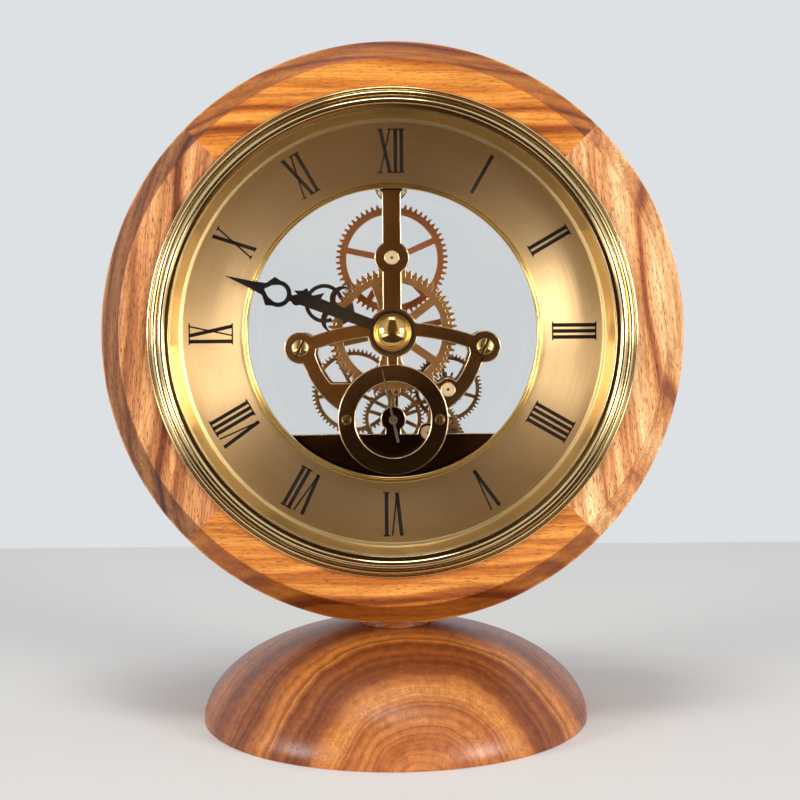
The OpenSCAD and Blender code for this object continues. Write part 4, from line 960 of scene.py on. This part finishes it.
def makeMovement():
    edgeHighlightMetal = metal("paintedEdgeHighlight", **edgeHighlightLook)
    for node, (colour, gloss, width) in polish.items():
        material = metal("metal_" + node, colour, gloss)
        if node in slotDepths:
            # The slots of screws get painted shade
            shadeSlots(material, node, slotDepths[node])
        edged(node, material, width * mm, edgeHighlightMetal if node in edgeHighlightPieces else None)
    for node, colour in steelPieces.items():
        repaint(node, metal("steel_" + node, colour, **steel))
    for node, (colour, gloss) in plasticPieces.items():
        repaint(node, plastic("moulded_" + node, colour, gloss))
    for node, (name, tint) in clearPieces.items():
        repaint(node, clear(name, tint))
    black = plastic("handLacquer", **handLacquer)
    for node in ("hour_hand", "minute_hand"):
        edged(node, black, handEdge)
    # The hand's own collet, black, and a dark ring that stands for the shadow round the dome nut as painted
    # shade
    back, front = backOf("minute_hand") + shadowCollet["inset"], frontOf("minute_hand") - shadowCollet["inset"]
    hole, radius = shadowCollet["hole"], shadowCollet["radius"]
    ring = eased([(hole, back), (radius, back), (radius, front), (hole, front)], shadowCollet["ease"])
    shadowRing = smoothed(turned("minuteHandShadowCollet", ring, shadowCollet["steps"]), shadowCollet["smoothUpTo"])
    dressed(shadowRing, black, "minute_hand", replace=False)


makeMovement()
print("movement ready")

# Studio: a pale table under even air, soft lamps, and dark and bright card for the metal to mirror
studio = {
    "floor": (246, 246, 244),
    "floorRough": 0.8,
    "floorSize": 8,
    "floorBack": 0.333,
    "backdrop": (222, 225, 228),
    "air": (0.94, 0.96, 1.0),
    "airStrength": 0.42,
    "cameraAt": (0, -0.427, 0.120),
    "cameraLens": 60.6,
    "cameraSensor": 36,
    "cameraRoll": -0.5,
    "cameraReach": (0.01, 20),
    "shift": (0.0094, -0.0844),
    "aimHeight": 0.8,
    "lamps": [
        {"name": "leftLamp", "at": (-2.32, -1.50, 0.50), "size": (0.88, 0.9), "power": 7.0, "spread": 70,
         "colour": (1, 0.96, 0.9)},
        {"name": "rightLamp", "at": (2.26, -1.92, 0.50), "size": (0.88, 0.9), "power": 9.4, "spread": 70,
         "colour": (1, 0.96, 0.9)},
        {"name": "topLamp", "at": (-0.05, -0.2, 1.0), "size": (0.36, 0.2), "power": 2.0, "spread": 180,
         "colour": (0.97, 0.98, 1)},
    ],
    "cards": [
        {"name": "standingFlag", "at": (0, -0.80, 1.0), "size": (0.76, 2.0), "turn": 90,
         "tone": (44, 27, 14), "strength": 1.0,
         "patches": {"tone": (160, 116, 70), "scale": (6.5, 15, 1), "detail": 1.0,
                     "from": 0.5, "to": 0.68}},
        {"name": "lyingFlag", "at": (0, -0.45, 0.001), "size": (0.44, 0.7), "turn": 0,
         "tone": (46, 29, 16), "strength": 1.0},
        {"name": "leftCard", "at": (-0.36, -0.46, 0.001), "size": (0.32, 0.5), "turn": 0,
         "tone": (255, 250, 242), "strength": 12.0, "soft": True},
        {"name": "rightCard", "at": (0.36, -0.46, 0.001), "size": (0.32, 0.5), "turn": 0,
         "tone": (255, 250, 242), "strength": 12.0, "soft": True},
    ],
}


def makeFloor():
    deselectAll()
    bpy.ops.mesh.primitive_plane_add(size=studio["floorSize"],
                                     location=(0, studio["floorBack"] - studio["floorSize"] / 2, 0))
    floor = bpy.context.object
    floor.name = "studioFloor"
    paper, tree, shader = newMaterial("floorPaper")
    shader.inputs["Base Color"].default_value = (*shade(*studio["floor"]), 1)
    shader.inputs["Roughness"].default_value = studio["floorRough"]
    shader.inputs["Specular IOR Level"].default_value = 0
    floor.data.materials.append(paper)


# A card is seen in polished metal alone. Patches are lighter places, as a lived-in room shows them,
# for the flat plates to mirror, and a soft card fades from its middle to nothing at its edge.
def cardPaper(card):
    paper, tree = newMaterial(card["name"] + "Paper")[:2]
    own = addNode(tree, "TexCoord").outputs["Object"]
    glow = addNode(tree, "Emission", {"Color": (*shade(*card["tone"]), 1), "Strength": card["strength"]})
    if "patches" in card:
        patches = card["patches"]
        stops = [(patches["from"], shade(*card["tone"])), (patches["to"], shade(*patches["tone"]))]
        cloud = noise(tree, own, patches["scale"], patches["detail"])
        feed(tree, glow.inputs["Color"], ramp(tree, cloud, stops))
    reflected = maths(tree, "GREATER_THAN", addNode(tree, "LightPath").outputs["Glossy Depth"], 0.5)
    if "soft" in card:
        # A plane of size one reaches half of one from its middle, and the gradient ends at one
        doubled = addNode(tree, "Mapping", {"Vector": own, "Scale": (2, 2, 2)})
        fade = addNode(tree, "TexGradient", {"Vector": doubled.outputs[0]}, gradient_type="SPHERICAL")
        reflected = maths(tree, "MULTIPLY", reflected, fade.outputs["Fac"])
    mixed = addNode(tree, "MixShader", {0: reflected, 1: addNode(tree, "BsdfTransparent").outputs[0],
                                        2: glow.outputs[0]})
    tree.links.new(mixed.outputs[0], tree.nodes["Material Output"].inputs["Surface"])
    paper.cycles.emission_sampling = "NONE"
    return paper


def makeCards():
    for card in studio["cards"]:
        deselectAll()
        bpy.ops.mesh.primitive_plane_add(size=1, location=card["at"],
                                         rotation=(math.radians(card["turn"]), 0, 0))
        sheet = bpy.context.object
        sheet.name = card["name"]
        sheet.scale = (*card["size"], 1)
        sheet.data.materials.append(cardPaper(card))
        sheet.visible_camera = sheet.visible_diffuse = sheet.visible_shadow = False


def makeLight():
    world = bpy.data.worlds.new("studioAir")
    bpy.context.scene.world = world
    world.use_nodes = True
    tree = world.node_tree
    air = tree.nodes["Background"]
    air.inputs["Color"].default_value = (*studio["air"], 1)
    air.inputs["Strength"].default_value = studio["airStrength"]
    seen = addNode(tree, "Background", {"Color": (*shade(*studio["backdrop"]), 1), "Strength": 1.0})
    path = addNode(tree, "LightPath")
    sharp = maths(tree, "MAXIMUM", path.outputs["Is Glossy Ray"], path.outputs["Is Transmission Ray"])
    looking = maths(tree, "MAXIMUM", path.outputs["Is Camera Ray"], sharp)
    mixed = addNode(tree, "MixShader", {0: looking, 1: air.outputs[0], 2: seen.outputs[0]})
    tree.links.new(mixed.outputs[0], tree.nodes["World Output"].inputs["Surface"])
    target = Vector((0, 0, ringZ * studio["aimHeight"]))
    for lamp in studio["lamps"]:
        data = bpy.data.lights.new(lamp["name"], "AREA")
        data.shape = "RECTANGLE"
        data.size, data.size_y = lamp["size"]
        data.energy = lamp["power"]
        data.color = lamp["colour"]
        data.spread = math.radians(lamp["spread"])
        holder = bpy.data.objects.new(lamp["name"], data)
        bpy.context.scene.collection.objects.link(holder)
        holder.location = lamp["at"]
        holder.rotation_euler = (Vector(lamp["at"]) - target).to_track_quat("Z", "Y").to_euler()


def makeCamera():
    data = bpy.data.cameras.new("photoCamera")
    data.lens = studio["cameraLens"]
    data.sensor_width = studio["cameraSensor"]
    data.shift_x, data.shift_y = studio["shift"]
    data.clip_start, data.clip_end = studio["cameraReach"]
    camera = bpy.data.objects.new("photoCamera", data)
    bpy.context.scene.collection.objects.link(camera)
    level = Matrix.Rotation(math.radians(90), 4, "X")
    roll = Matrix.Rotation(math.radians(studio["cameraRoll"]), 4, "Z")
    camera.matrix_world = Matrix.Translation(studio["cameraAt"]) @ level @ roll
    bpy.context.scene.camera = camera


makeFloor()
makeCards()
makeLight()
makeCamera()
bpy.context.scene.view_settings.view_transform = "Standard"
print("studio ready")
